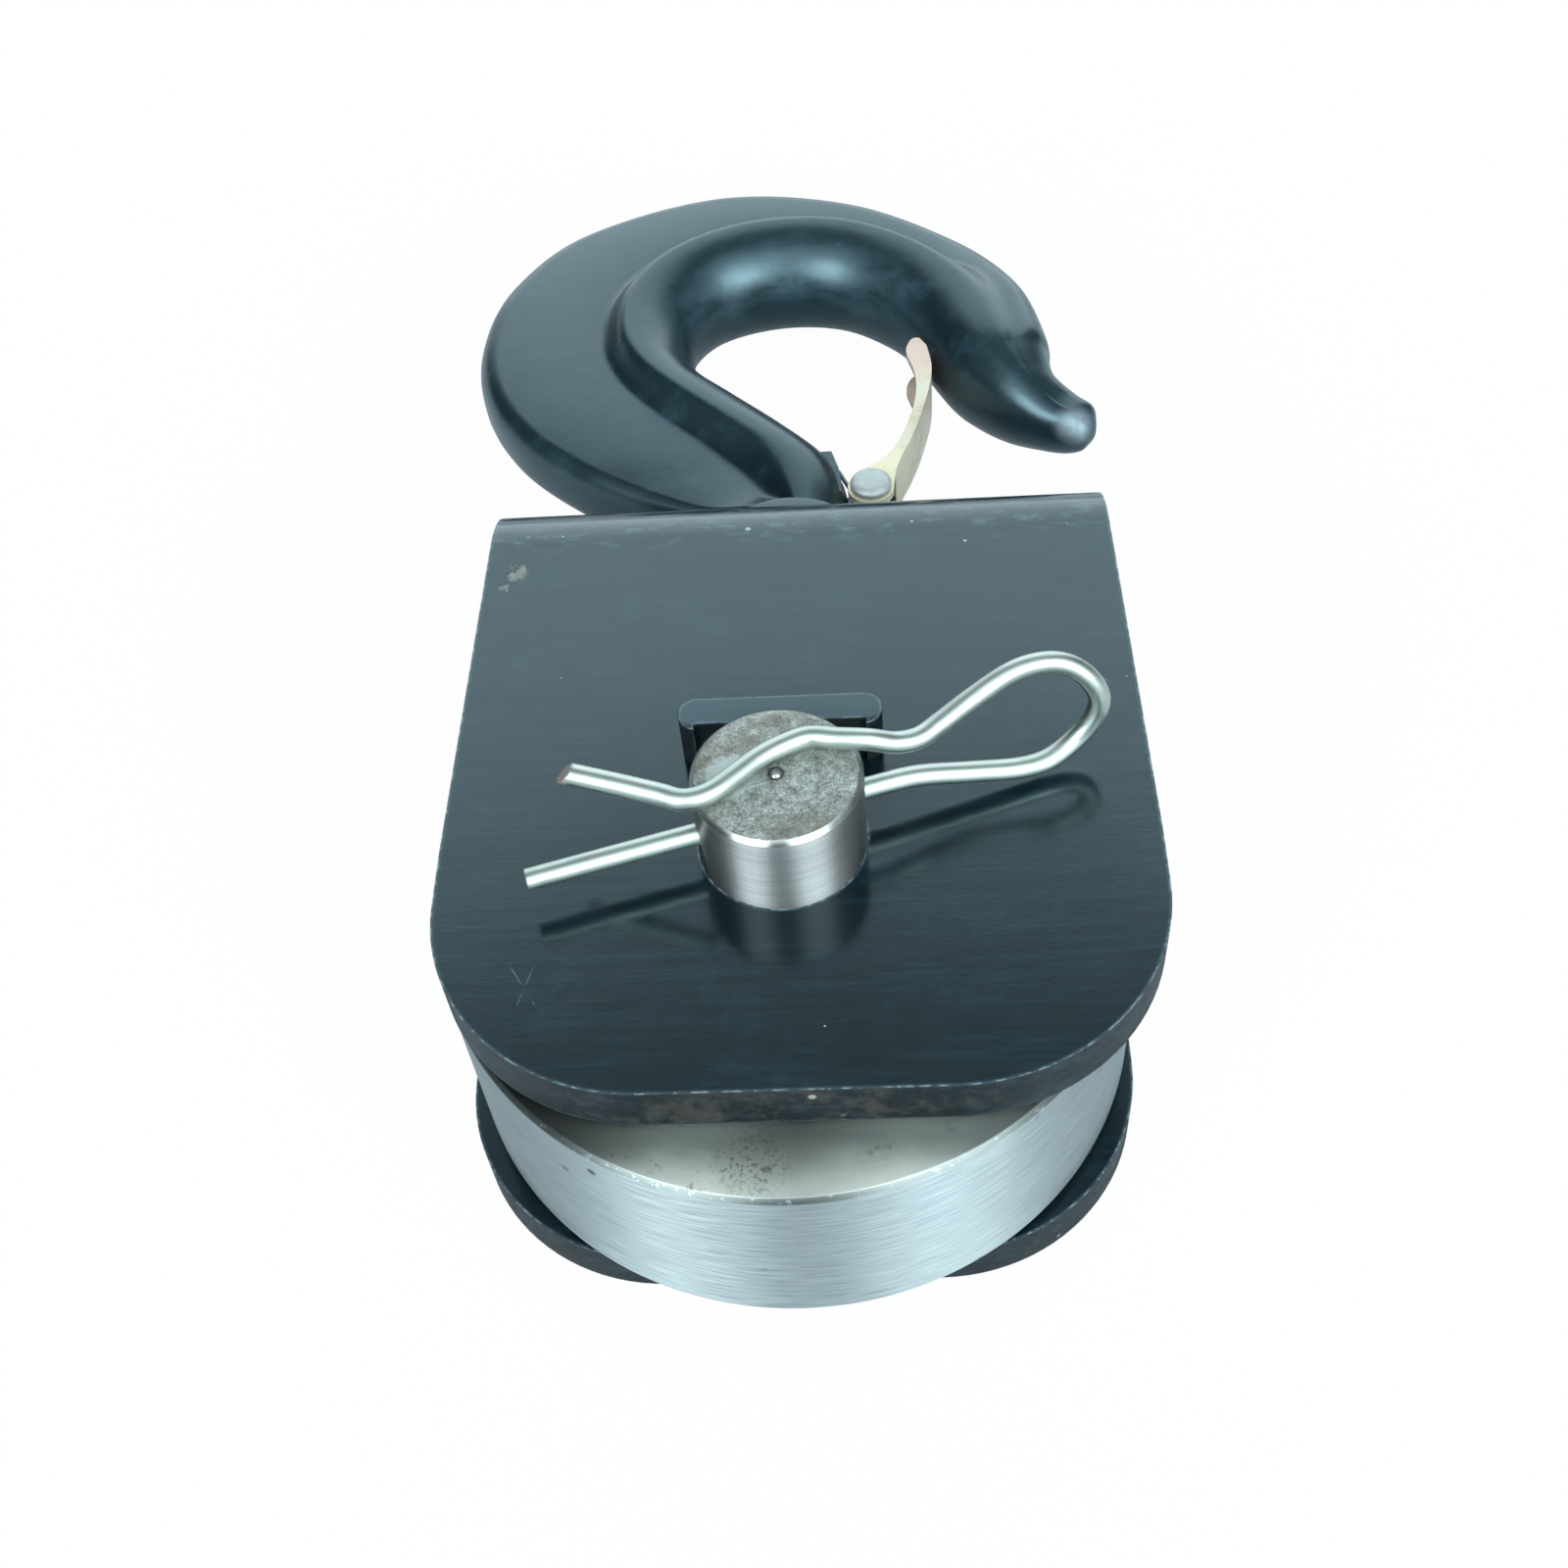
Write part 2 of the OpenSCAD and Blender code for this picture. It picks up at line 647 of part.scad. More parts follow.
// Outer side of the back from the ear to the tip, as parts of length and bow
back_line = smooth_path([for (s = [[0.12, 0.89], [0.229, 0.9], [0.333, 1.01], [0.472, 1.06],
    [0.61, 1.01], [0.749, 0.89], [0.875, 0.6], [1, 0]]) on_latch(s[0], s[1] * latch_bow)], 4);

// Inner edge of the flanges from the tip to the ear, as parts of length and width
flange_line = smooth_path([for (s = [[1.044, -0.5], [1.038, -0.8], [1.003, -0.96], [0.93, -0.9],
    [0.818, -0.19], [0.739, 0.17], [0.66, 0.39], [0.56, 0.54], [0.455, 0.57], [0.331, 0.5],
    [0.245, 0.3], [0.174, -0.06], [0.12, -0.52], [0.06, -0.98]]) on_latch(s[0], s[1] * latch_flange_w)], 4);

// A line moved to its left by t
function moved(path, t) = [for (i = [0:len(path) - 1])
    let (h = heading(path, i)) path[i] + t * [-h[1], h[0]]];

function backwards(path) = [for (i = [len(path) - 1:-1:0]) path[i]];

// Outline of one flange, which widens into the ear
module flange_outline() {
    translate(pivot) circle(r = ear_r);
    polygon(concat(back_line, flange_line, [pivot, on_latch(0.035, ear_r * 0.93)]));
}

module latch() {
    color([0.78, 0.74, 0.6]) difference() {
        translate([0, 0, mid_z]) union() {
            translate([0, 0, -latch_h / 2]) linear_extrude(latch_h)
                polygon(concat(back_line, backwards(moved(back_line, latch_t))));
            for (z = [-latch_h / 2, ear_in]) translate([0, 0, z])
                linear_extrude(latch_t) flange_outline();
        }
        translate([latch_x, pivot_y, mid_z])
            cylinder(r = latch_pin_d / 2 + running_fit, h = 2 * latch_h, center = true);
    }
}

module latch_pin() {
    head_t = 2.2;
    z = latch_h / 2 + rest_gap;
    color([0.72, 0.76, 0.78]) translate([latch_x, pivot_y, mid_z]) {
        cylinder(d = latch_pin_d, h = 2 * z, center = true);
        for (s = [0, 1]) mirror([0, 0, s]) translate([0, 0, z]) rotate_extrude() polygon([
            [0, 0], [latch_head_d / 2, 0], [latch_head_d / 2, head_t * 0.5],
            [latch_head_d / 2 - 0.8, head_t * 0.85], [latch_head_d / 2 - 2, head_t], [0, head_t]
        ]);
    }
}

// Torsion spring round the pin between the boss and the upper ear. One end leans
// on the hook's neck and the other on the inside of the latch's back.
module latch_spring() {
    turns = 1.5;
    steps = 18;
    side_r = latch_pin_d / 2 + spring_wire / 2 + 0.9;
    low_z = boss_h / 2 + spring_wire / 2 + 0.15;
    high_z = ear_in - spring_wire / 2 - 0.15;
    neck = neck_rows[0];
    lean = 0.87 * latch_bow - latch_t - spring_wire / 2 - rest_gap;
    neck_end = [bowl_shift + neck[0] + spring_wire / 2 + 0.25, bowl_y + neck[1]] - pivot;
    back_leg = [for (s = [[0.085, lean + 0.1], [0.15, lean], [0.3, lean]])
        on_latch(s[0], s[1]) - pivot];
    path = concat(
        [[neck_end[0], neck_end[1], low_z], [-side_r - 0.4, 2.5, low_z]],
        [for (k = [0:turns * steps]) let (a = 180 + 360 * k / steps)
            [side_r * cos(a), side_r * sin(a), low_z + (high_z - low_z) * k / turns / steps]],
        [for (q = back_leg) [q[0], q[1], high_z]]
    );
    color([0.6, 0.6, 0.6]) translate([latch_x, pivot_y, mid_z]) wire(path, spring_wire / 2, 8);
}

strap();
stop_lug();
axle();
spring_clip();
sheave();
outer_ring(1);  // front_bearing_outer_ring
inner_ring(1);  // front_bearing_inner_ring
balls(1);  // front_bearing_balls
cage(1);  // front_bearing_cage
shields(1);  // front_bearing_shields
outer_ring(0);  // back_bearing_outer_ring
inner_ring(0);  // back_bearing_inner_ring
balls(0);  // back_bearing_balls
cage(0);  // back_bearing_cage
shields(0);  // back_bearing_shields
bearing_sleeve();
front_retaining_ring();
back_retaining_ring();
side_washer(front_in - washer_t);  // front_side_washer
side_washer(strap_t);  // back_side_washer
hook();
hook_thrust_washer();
hook_nut();
nut_roll_pin();
latch();
latch_pin();
latch_spring();
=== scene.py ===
"""Looks of the snatch block: smooth meshes, procedural finishes, studio and camera.

Lengths in the pieces built in this script are millimetres in the row frame and are scaled to metres once.
"""
import json
import math

import bmesh
import bpy
from mathutils import Matrix, Vector


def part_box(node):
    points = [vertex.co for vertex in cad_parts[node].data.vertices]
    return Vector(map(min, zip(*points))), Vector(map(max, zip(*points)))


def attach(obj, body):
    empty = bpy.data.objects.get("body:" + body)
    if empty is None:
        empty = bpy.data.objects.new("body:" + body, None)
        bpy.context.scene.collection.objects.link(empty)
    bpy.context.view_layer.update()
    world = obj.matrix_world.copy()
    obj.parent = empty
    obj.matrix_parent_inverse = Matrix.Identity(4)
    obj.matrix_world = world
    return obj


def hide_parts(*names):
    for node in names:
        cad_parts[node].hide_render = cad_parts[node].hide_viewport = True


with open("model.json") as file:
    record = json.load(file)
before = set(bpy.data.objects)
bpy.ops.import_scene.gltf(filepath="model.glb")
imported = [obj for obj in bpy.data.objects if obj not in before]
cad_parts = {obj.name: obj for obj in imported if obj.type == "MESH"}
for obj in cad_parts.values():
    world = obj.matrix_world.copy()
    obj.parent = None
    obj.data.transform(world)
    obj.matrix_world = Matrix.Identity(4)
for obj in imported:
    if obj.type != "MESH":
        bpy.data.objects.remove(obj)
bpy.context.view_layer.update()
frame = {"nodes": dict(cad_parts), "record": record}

MM = 0.001
NODES = frame["nodes"]


def node_box(name):
    """Lowest and highest corner of a CAD node, in millimetres."""
    low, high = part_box(name)
    return low / MM, high / MM


# Places and sizes taken from the frame
strap_high = node_box("strap")[1]
axle_high = node_box("axle")[1]
pin_low, pin_high = node_box("latch_pin")
nut_low, nut_high = node_box("hook_nut")
thrust_low = node_box("hook_thrust_washer")[0]
sheave_low, sheave_high = node_box("sheave")
PLATE_TOP = strap_high.z
MID_Z = PLATE_TOP / 2
WEB_Y = strap_high.y
BOWL = Vector((1.0, WEB_Y + 85.5))
LATCH_PIN = ((pin_low.x + pin_high.x) / 2, (pin_low.y + pin_high.y) / 2)
NUT_MID_Y = (nut_low.y + nut_high.y) / 2

# The axle's proud end and the clip in its cross hole
AXLE_R = 17.5
PIP_R = 1.3
PIP_H = 0.9
AXLE_END = axle_high.z - PIP_H
HOLE_DROP = 12.3
HOLE_Z = AXLE_END - HOLE_DROP
HOLE_R = 2.4
HOLE_TURN = Matrix.Rotation(math.radians(16.5), 3, "Z")
WIRE_R = 2.3
CLIP_RISE = HOLE_DROP + WIRE_R + 0.3


# Meshes

def new_piece(name, verts, faces, body, slot, replaces=(), smooth_angle=40):
    """A mesh piece from points in millimetres, riding on a body."""
    mesh = bpy.data.meshes.new(name)
    mesh.from_pydata([Vector(v) * MM for v in verts], [], faces)
    mesh.validate()
    mesh.update()
    piece = bpy.data.objects.new(name, mesh)
    bpy.context.scene.collection.objects.link(piece)
    clean_normals(mesh)
    shade(mesh, smooth_angle)
    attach(piece, body)
    if replaces:
        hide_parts(*replaces)
    return piece


def clean_normals(mesh):
    """Faces all point outwards."""
    work = bmesh.new()
    work.from_mesh(mesh)
    bmesh.ops.recalc_face_normals(work, faces=work.faces)
    work.to_mesh(mesh)
    work.free()


def shade(mesh, angle):
    """Smooth shading with edges sharper than the angle kept crisp."""
    mesh.shade_smooth()
    mesh.set_sharp_from_angle(angle=math.radians(angle))


def smooth_path(points, steps):
    """Points of a smooth curve through a list of equally long tuples."""
    path = []
    last = len(points) - 1
    for i in range(last):
        a, b, c, d = points[max(i - 1, 0)], points[i], points[i + 1], points[min(i + 2, last)]
        for k in range(steps):
            t = k / steps
            path.append(tuple(
                (2 * q + (r - p) * t + (2 * p - 5 * q + 4 * r - s) * t * t
                 + (3 * q - 3 * r + s - p) * t ** 3) / 2
                for p, q, r, s in zip(a, b, c, d)))
    path.append(tuple(points[-1]))
    return path


def skin(rings):
    """Vertices and faces of a closed tube through rings of equal length."""
    n = len(rings[0])
    verts = [p for ring in rings for p in ring]
    faces = [tuple(range(n - 1, -1, -1))]
    for i in range(len(rings) - 1):
        for j in range(n):
            a, b = i * n + j, i * n + (j + 1) % n
            faces.append((a, b, b + n, a + n))
    faces.append(tuple((len(rings) - 1) * n + j for j in range(n)))
    return verts, faces


def wire_rings(path, radius, sides, end_break=0.25):
    """Rings of a round wire along a path, with both cut ends slightly broken."""
    path = [Vector(p) for p in path]
    rings = []
    side = Vector((0, 1, 0))
    last = len(path) - 1
    for i, p in enumerate(path):
        heading = (path[min(i + 1, last)] - path[max(i - 1, 0)]).normalized()
        side = (side - side.dot(heading) * heading).normalized()
        up = heading.cross(side)
        ring = [p + radius * (math.cos(a) * side + math.sin(a) * up)
                for a in (2 * math.pi * j / sides for j in range(sides))]
        rings.append(ring)
        if i in (0, last):
            inner = [p + (q - p) * (1 - end_break / radius) for q in ring]
            pushed = [q + heading * (end_break if i == 0 else -end_break) for q in ring]
            rings[-1:] = [inner, pushed] if i == 0 else [pushed, inner]
    return rings


def lathe_y(profile, centre, segments=96):
    """Closed rings round the Y axis through centre. The profile is (y, radius) pairs."""
    x, z = centre
    return [[Vector((x + r * math.cos(a), y, z + r * math.sin(a)))
             for a in (2 * math.pi * j / segments for j in range(segments))] for y, r in profile]


def lathe_z(profile, centre, segments=64):
    """Closed rings round the Z axis through centre. The profile is (z, radius) pairs."""
    x, y = centre
    return [[Vector((x + r * math.cos(a), y + r * math.sin(a), z))
             for a in (2 * math.pi * j / segments for j in range(segments))] for z, r in profile]


def mesh_object(name, verts, faces):
    """A loose helper object in metres, used as a boolean operand."""
    mesh = bpy.data.meshes.new(name)
    mesh.from_pydata([Vector(v) * MM for v in verts], [], faces)
    mesh.update()
    clean_normals(mesh)
    helper = bpy.data.objects.new(name, mesh)
    bpy.context.scene.collection.objects.link(helper)
    return helper


def combine(piece, helpers, operation):
    """Boolean of the piece with each helper, baked into the piece's own mesh."""
    for helper in helpers:
        modifier = piece.modifiers.new("cut", "BOOLEAN")
        modifier.operation = operation
        modifier.solver = "EXACT"
        modifier.object = helper
        bake_modifiers(piece)
        bpy.data.objects.remove(helper)


def bake_modifiers(piece):
    """The piece's mesh with its modifiers applied."""
    bpy.context.view_layer.update()
    graph = bpy.context.evaluated_depsgraph_get()
    baked = bpy.data.meshes.new_from_object(piece.evaluated_get(graph))
    piece.modifiers.clear()
    old = piece.data
    piece.data = baked
    bpy.data.meshes.remove(old)


def soften(piece, width, segments=3, angle=30):
    """Rounded edges on a CAD node or a piece, by modifiers only."""
    weld = piece.modifiers.new("weld", "WELD")
    weld.merge_threshold = 0.00002
    edge = piece.modifiers.new("edge", "BEVEL")
    edge.width = width * MM
    edge.segments = segments
    edge.limit_method = "ANGLE"
    edge.angle_limit = math.radians(angle)
    edge.harden_normals = False
    edge.miter_outer = "MITER_ARC"
    normals = piece.modifiers.new("normals", "WEIGHTED_NORMAL")
    normals.keep_sharp = True
    normals.weight = 60
    piece.data.shade_smooth()


# Materials

class Nodes:
    """Short ways to build a node tree. Places come from one texture coordinate."""

    def __init__(self, tree, coordinate):
        self.tree = tree
        self.tree.nodes.clear()
        self.place = tree.nodes.new("ShaderNodeTexCoord").outputs[coordinate]

    def link(self, value, socket):
        if isinstance(value, bpy.types.NodeSocket):
            self.tree.links.new(value, socket)
        else:
            if isinstance(value, (tuple, list)) and len(value) == 3 and socket.type == "RGBA":
                value = (*value, 1)
            socket.default_value = value

    def add(self, kind, **settings):
        made = self.tree.nodes.new(kind)
        for key, value in settings.items():
            setattr(made, key, value)
        return made

    def math(self, operation, a, b=0.0, c=0.0, clamp=False):
        made = self.add("ShaderNodeMath", operation=operation, use_clamp=clamp)
        for value, socket in zip((a, b, c), made.inputs):
            self.link(value, socket)
        return made.outputs[0]

    def vector(self, operation, a, b=(0, 0, 0)):
        made = self.add("ShaderNodeVectorMath", operation=operation)
        self.link(a, made.inputs[0])
        self.link(b, made.inputs[1])
        return made.outputs["Value"] if operation in ("DOT_PRODUCT", "DISTANCE", "LENGTH") else made.outputs[0]

    def stretched(self, stretch, offset=(0, 0, 0)):
        made = self.add("ShaderNodeMapping")
        self.link(self.place, made.inputs["Vector"])
        made.inputs["Scale"].default_value = stretch
        made.inputs["Location"].default_value = offset
        return made.outputs[0]

    def noise(self, scale, detail=3.0, roughness=0.55, stretch=(1, 1, 1), offset=(0, 0, 0), distortion=0.0):
        made = self.add("ShaderNodeTexNoise")
        self.link(self.stretched(stretch, offset), made.inputs["Vector"])
        made.inputs["Scale"].default_value = scale
        made.inputs["Detail"].default_value = detail
        made.inputs["Roughness"].default_value = roughness
        made.inputs["Distortion"].default_value = distortion
        return made.outputs["Fac"]

    def cells(self, scale, feature="F1", stretch=(1, 1, 1), offset=(0, 0, 0)):
        made = self.add("ShaderNodeTexVoronoi", feature=feature)
        self.link(self.stretched(stretch, offset), made.inputs["Vector"])
        made.inputs["Scale"].default_value = scale
        return made.outputs["Distance"]

    def ramp(self, value, *stops):
        """Colour or grey ramp. Each stop is (position, colour or grey level)."""
        made = self.add("ShaderNodeValToRGB")
        self.link(value, made.inputs[0])
        elements = made.color_ramp.elements
        while len(elements) < len(stops):
            elements.new(0.5)
        for element, (position, colour) in zip(elements, stops):
            element.position = position
            element.color = (*colour, 1) if isinstance(colour, tuple) else (colour, colour, colour, 1)
        return made.outputs["Color"]

    def step(self, value, low, high, a=0.0, b=1.0):
        """Smooth rise from a to b as value goes from low to high."""
        made = self.add("ShaderNodeMapRange", interpolation_type="SMOOTHSTEP")
        for key, number in (("From Min", low), ("From Max", high), ("To Min", a), ("To Max", b)):
            made.inputs[key].default_value = number
        self.link(value, made.inputs["Value"])
        return made.outputs["Result"]

    def mix(self, amount, a, b, blend="MIX"):
        made = self.add("ShaderNodeMix", data_type="RGBA", blend_type=blend)
        self.link(amount, made.inputs["Factor"])
        self.link(a, made.inputs[6])
        self.link(b, made.inputs[7])
        return made.outputs[2]

    def split(self, vector=None):
        made = self.add("ShaderNodeSeparateXYZ")
        self.link(vector or self.place, made.inputs[0])
        return made.outputs

    def add_up(self, *values):
        total = values[0]
        for value in values[1:]:
            total = self.math("ADD", total, value)
        return total

    def times(self, *values):
        total = values[0]
        for value in values[1:]:
            total = self.math("MULTIPLY", total, value)
        return total

    def most(self, *values):
        total = values[0]
        for value in values[1:]:
            total = self.math("MAXIMUM", total, value)
        return total

    def towards(self, turn, rise):
        """Cosine between the place and a direction: degrees to the right of +Y, and upwards."""
        a, b = math.radians(turn), math.radians(rise)
        aim = (math.sin(a) * math.cos(b), math.cos(a) * math.cos(b), math.sin(b))
        return self.vector("DOT_PRODUCT", self.place, aim)


class Finish(Nodes):
    """A procedural material in row-frame coordinates, in metres."""

    def __init__(self, name, **constants):
        self.material = bpy.data.materials.new(name)
        self.material.use_nodes = True
        super().__init__(self.material.node_tree, "Object")
        self.out = self.tree.nodes.new("ShaderNodeOutputMaterial")
        self.shader = self.tree.nodes.new("ShaderNodeBsdfPrincipled")
        self.tree.links.new(self.shader.outputs[0], self.out.inputs["Surface"])
        for key, value in constants.items():
            self.shader.inputs[key.replace("_", " ")].default_value = value

    def facing(self):
        """Normal of the surface, as three separate outputs."""
        return self.split(self.add("ShaderNodeNewGeometry").outputs["Normal"])

    def turned_lay(self):
        """Highlights that spread across turning marks, which run round the Z axis."""
        tangent = self.add("ShaderNodeTangent", direction_type="RADIAL", axis="Z")
        self.link(tangent.outputs[0], self.shader.inputs["Tangent"])

    def edge_mask(self, radius, low=0.01, high=0.12):
        """1 on edges and 0 on flats, from the shader's bevel."""
        made = self.add("ShaderNodeBevel", samples=6)
        made.inputs["Radius"].default_value = radius * MM
        normal = self.add("ShaderNodeNewGeometry").outputs["Normal"]
        same = self.vector("DOT_PRODUCT", made.outputs[0], normal)
        return self.step(self.math("SUBTRACT", 1.0, same), low, high)

    def spots(self, places, wobble=0.0007):
        """1 inside any of the given spots. Each is x, y, z and a radius, in millimetres."""
        ragged = self.math("MULTIPLY", self.noise(900, 2), wobble)
        total = None
        for x, y, z, radius in places:
            away = self.vector("DISTANCE", self.place, (x * MM, y * MM, z * MM))
            inside = self.step(self.math("ADD", away, ragged), radius * MM * 1.05, radius * MM * 0.75)
            total = inside if total is None else self.math("MAXIMUM", total, inside)
        return total

    def line(self, start, end, width):
        """1 along a fine straight scratch between two points, in millimetres."""
        a = Vector(start) * MM
        b = Vector(end) * MM
        along = (b - a).normalized()
        relative = self.vector("SUBTRACT", self.place, tuple(a))
        way = self.vector("DOT_PRODUCT", relative, tuple(along))
        reach = self.math("MINIMUM", self.math("MAXIMUM", way, 0.0), (b - a).length)
        scaled = self.add("ShaderNodeVectorMath", operation="SCALE")
        scaled.inputs[0].default_value = tuple(along)
        self.link(reach, scaled.inputs["Scale"])
        away = self.vector("DISTANCE", relative, scaled.outputs[0])
        return self.step(away, width * MM, width * MM * 0.4)

    def bump(self, height, distance, strength=1.0, under=None):
        made = self.add("ShaderNodeBump")
        made.inputs["Strength"].default_value = strength
        made.inputs["Distance"].default_value = distance * MM
        self.link(height, made.inputs["Height"])
        if under is not None:
            self.link(under, made.inputs["Normal"])
        return made.outputs[0]

    def set(self, **sockets):
        for key, value in sockets.items():
            self.link(value, self.shader.inputs[key.replace("_", " ")])
        return self


def srgb(code):
    """Linear colour of a six-digit screen colour."""
    levels = [int(code[i:i + 2], 16) / 255 for i in (0, 2, 4)]
    return tuple(v / 12.92 if v <= 0.04045 else ((v + 0.055) / 1.055) ** 2.4 for v in levels)


def plate_paint():
    """Semi-gloss blue-black paint on rolled plate, chipped at the bend and along the edges."""
    f = Finish("plate_paint", Specular_Tint=(0.76, 0.94, 1, 1))
    base = f.mix(f.noise(14, 4, 0.6), srgb("050d10"), srgb("09151a"))
    grime = f.step(f.noise(60, 5, 0.7, offset=(3, 1, 2)), 0.52, 0.75)
    base = f.mix(f.times(grime, 0.3), base, srgb("1f3239"))
    streaks = f.noise(300, 5, 0.7, stretch=(0.12, 1.6, 1), offset=(1, 2, 5))
    base = f.mix(f.times(f.step(streaks, 0.46, 0.7), 0.28), base, srgb("1c2c33"))
    x, y, z = f.split()
    # the lug's top face is painted lighter than the plate, and the lug's edges wear more
    lug = f.step(z, (PLATE_TOP + 1) * MM, (PLATE_TOP + 2) * MM)
    base = f.mix(f.times(lug, 0.35), base, srgb("2c4048"))
    # scuffed band along the bend
    band = f.step(y, 0.082, 0.097)
    scuff = f.step(f.noise(150, 6, 0.75, stretch=(1, 2.6, 1)), 0.48, 0.7)
    scuffed = f.times(band, scuff, 0.5)
    base = f.mix(scuffed, base, srgb("5a6f77"))
    blot = f.times(f.step(y, 0.086, 0.094), f.step(f.noise(110, 4, 0.7, offset=(9, 3, 4)), 0.56, 0.66))
    base = f.mix(f.times(blot, 0.7), base, srgb("05090b"))
    # bare spots: at the bend, at the left corner, and a few single specks
    top = PLATE_TOP
    chips = f.spots([
        (-61.2, 92.3, top, 0.7), (-52.9, 92.2, top, 0.7), (-8.7, 92.1, top, 1.1), (30.0, 92.3, top, 0.8),
        (42.2, 85.0, top, 0.8), (66.2, 89.1, top, 0.6), (58.0, 92.0, top, 0.5), (12.0, 94.0, top, 0.5),
        (-49.8, 47.0, top, 0.5), (75.0, 41.0, top, 0.6), (8.3, -45.2, top, 0.6), (-30.0, 93.0, top, 0.4)])
    patch = f.spots([(-62.9, 80.9, top, 4.6), (-65.4, 76.0, top, 3.2)], 0.003)
    cluster = f.times(patch, f.step(f.noise(430, 4, 0.75, stretch=(1.2, 0.6, 1)), 0.42, 0.56))
    bare = f.most(chips, cluster)
    scratch = f.most(
        f.line((-54.5, -29.0, top), (-48.7, -38.3, top), 0.16),
        f.line((-52.1, -38.2, top), (-49.5, -29.2, top), 0.13),
        f.line((60, 46, top), (71, 40, top), 0.14))
    # worn edges
    wear = f.step(f.math("ADD", f.noise(420, 4, 0.7), f.times(lug, 0.07)), 0.46, 0.62)
    worn = f.times(f.edge_mask(1.1, 0.03, 0.2), wear)
    # every edge is painted lighter: a painted edge highlight
    colour = f.mix(f.times(f.edge_mask(1.6, 0.01, 0.12), 0.3), base, srgb("55666e"))
    colour = f.mix(f.times(worn, 0.8), colour, srgb("8d999d"))
    faint = f.step(f.noise(300, 3, 0.7, offset=(1, 1, 2)), 0.4, 0.6)
    colour = f.mix(f.times(scratch, faint, 0.35), colour, srgb("71828a"))
    colour = f.mix(f.times(chips, 0.65), colour, srgb("9fa39c"))
    colour = f.mix(f.times(cluster, 0.42), colour, srgb("8a8578"))
    # brown patches on the cut sides of the plate
    side = f.step(f.math("ABSOLUTE", f.facing()[2]), 0.5, 0.2)
    colour = f.mix(f.times(side, 0.8), colour, srgb("080b0d"))
    scaled = f.times(side, f.step(f.noise(150, 6, 0.75, stretch=(1, 1, 1.6), offset=(7, 2, 0)), 0.46, 0.66))
    colour = f.mix(f.times(scaled, 0.6), colour, srgb("24282a"))
    rust = f.times(side, f.step(f.noise(75, 5, 0.75, offset=(3, 8, 1)), 0.52, 0.68))
    colour = f.mix(f.times(rust, 0.5), colour, srgb("3a3029"))
    flecks = f.times(side, f.step(f.cells(160, offset=(0.2, 0.1, 0.6)), 0.16, 0.08),
                     f.step(f.noise(60, 2, offset=(4, 4, 4)), 0.52, 0.6))
    colour = f.mix(f.times(flecks, 0.8), colour, srgb("8d8b80"))
    rough = f.add_up(f.times(f.noise(90, 4, 0.6), 0.1), 0.1)
    rough = f.add_up(rough, f.times(f.most(worn, rust, scuffed), 0.25), f.times(side, 0.4))
    height = f.bump(f.noise(38, 3, 0.5), 0.12, 0.5)
    height = f.bump(f.noise(1100, 2, 0.5), 0.015, 0.5, height)
    height = f.bump(streaks, 0.03, 0.5, height)
    height = f.bump(f.math("SUBTRACT", 1.0, f.most(bare, worn)), 0.1, 0.7, height)
    height = f.bump(f.times(side, f.noise(260, 5, 0.7)), 0.35, 0.8, height)
    gloss = f.math("SUBTRACT", 0.67, f.times(side, 0.42))
    return f.set(Base_Color=colour, Roughness=rough, Specular_IOR_Level=gloss, Normal=height).material


def hook_paint():
    """Blue-black paint on a forging, rubbed on the ridge and bare on the knob, with a painted highlight on the
    knob.
    """
    f = Finish("hook_paint", Specular_IOR_Level=0.7, Specular_Tint=(0.68, 0.93, 1, 1))
    base = f.mix(f.noise(22, 4, 0.6), srgb("091519"), srgb("0e1c22"))
    speck = f.step(f.noise(500, 4, 0.7), 0.6, 0.78)
    base = f.mix(f.times(speck, 0.25), base, srgb("34474f"))
    smear = f.step(f.noise(75, 5, 0.65, stretch=(1, 1.6, 1), offset=(2, 6, 1)), 0.5, 0.75)
    base = f.mix(f.times(smear, 0.35), base, srgb("283c44"))
    # the round crest of the ridge is rubbed; the knob is rubbed to bare metal and carries a painted highlight that
    # fades outwards
    away = f.vector("DISTANCE", f.place, (0.0768, 0.1612, (MID_Z + 5.4) * MM))
    knob = f.times(f.step(away, 0.0078, 0.001), f.step(f.noise(420, 3), 0.1, 0.6, 0.5, 1))
    rub = f.times(f.edge_mask(2.0, 0.01, 0.1), f.step(f.noise(200, 4, 0.7), 0.5, 0.7))
    inside = f.step(f.vector("DISTANCE", f.stretched((1, 1, 0)), (BOWL.x * MM, BOWL.y * MM, 0)), 0.040, 0.034)
    lines = f.noise(150, 4, 0.6, stretch=(0.5, 0.5, 1.6), offset=(4, 0, 3))
    polished = f.times(inside, f.step(f.split()[2], 0.037, 0.043), f.step(lines, 0.3, 0.7))
    colour = f.mix(f.times(rub, 0.4), base, srgb("55656d"))
    colour = f.mix(f.times(polished, 0.3), colour, srgb("37484f"))
    colour = f.mix(f.times(knob, 0.75), colour, srgb("7f898d"))
    rough = f.add_up(f.times(f.noise(120, 4, 0.6), 0.14), 0.23, f.times(smear, 0.08), f.times(knob, 0.2),
                     f.times(polished, 0.1))
    height = f.bump(f.noise(48, 4, 0.55), 0.4, 0.45)
    height = f.bump(f.noise(600, 3, 0.6), 0.08, 0.5, height)
    metal = f.most(f.times(knob, 0.3), f.times(polished, 0.08))
    return f.set(Base_Color=colour, Metallic=metal, Roughness=rough, Normal=height).material


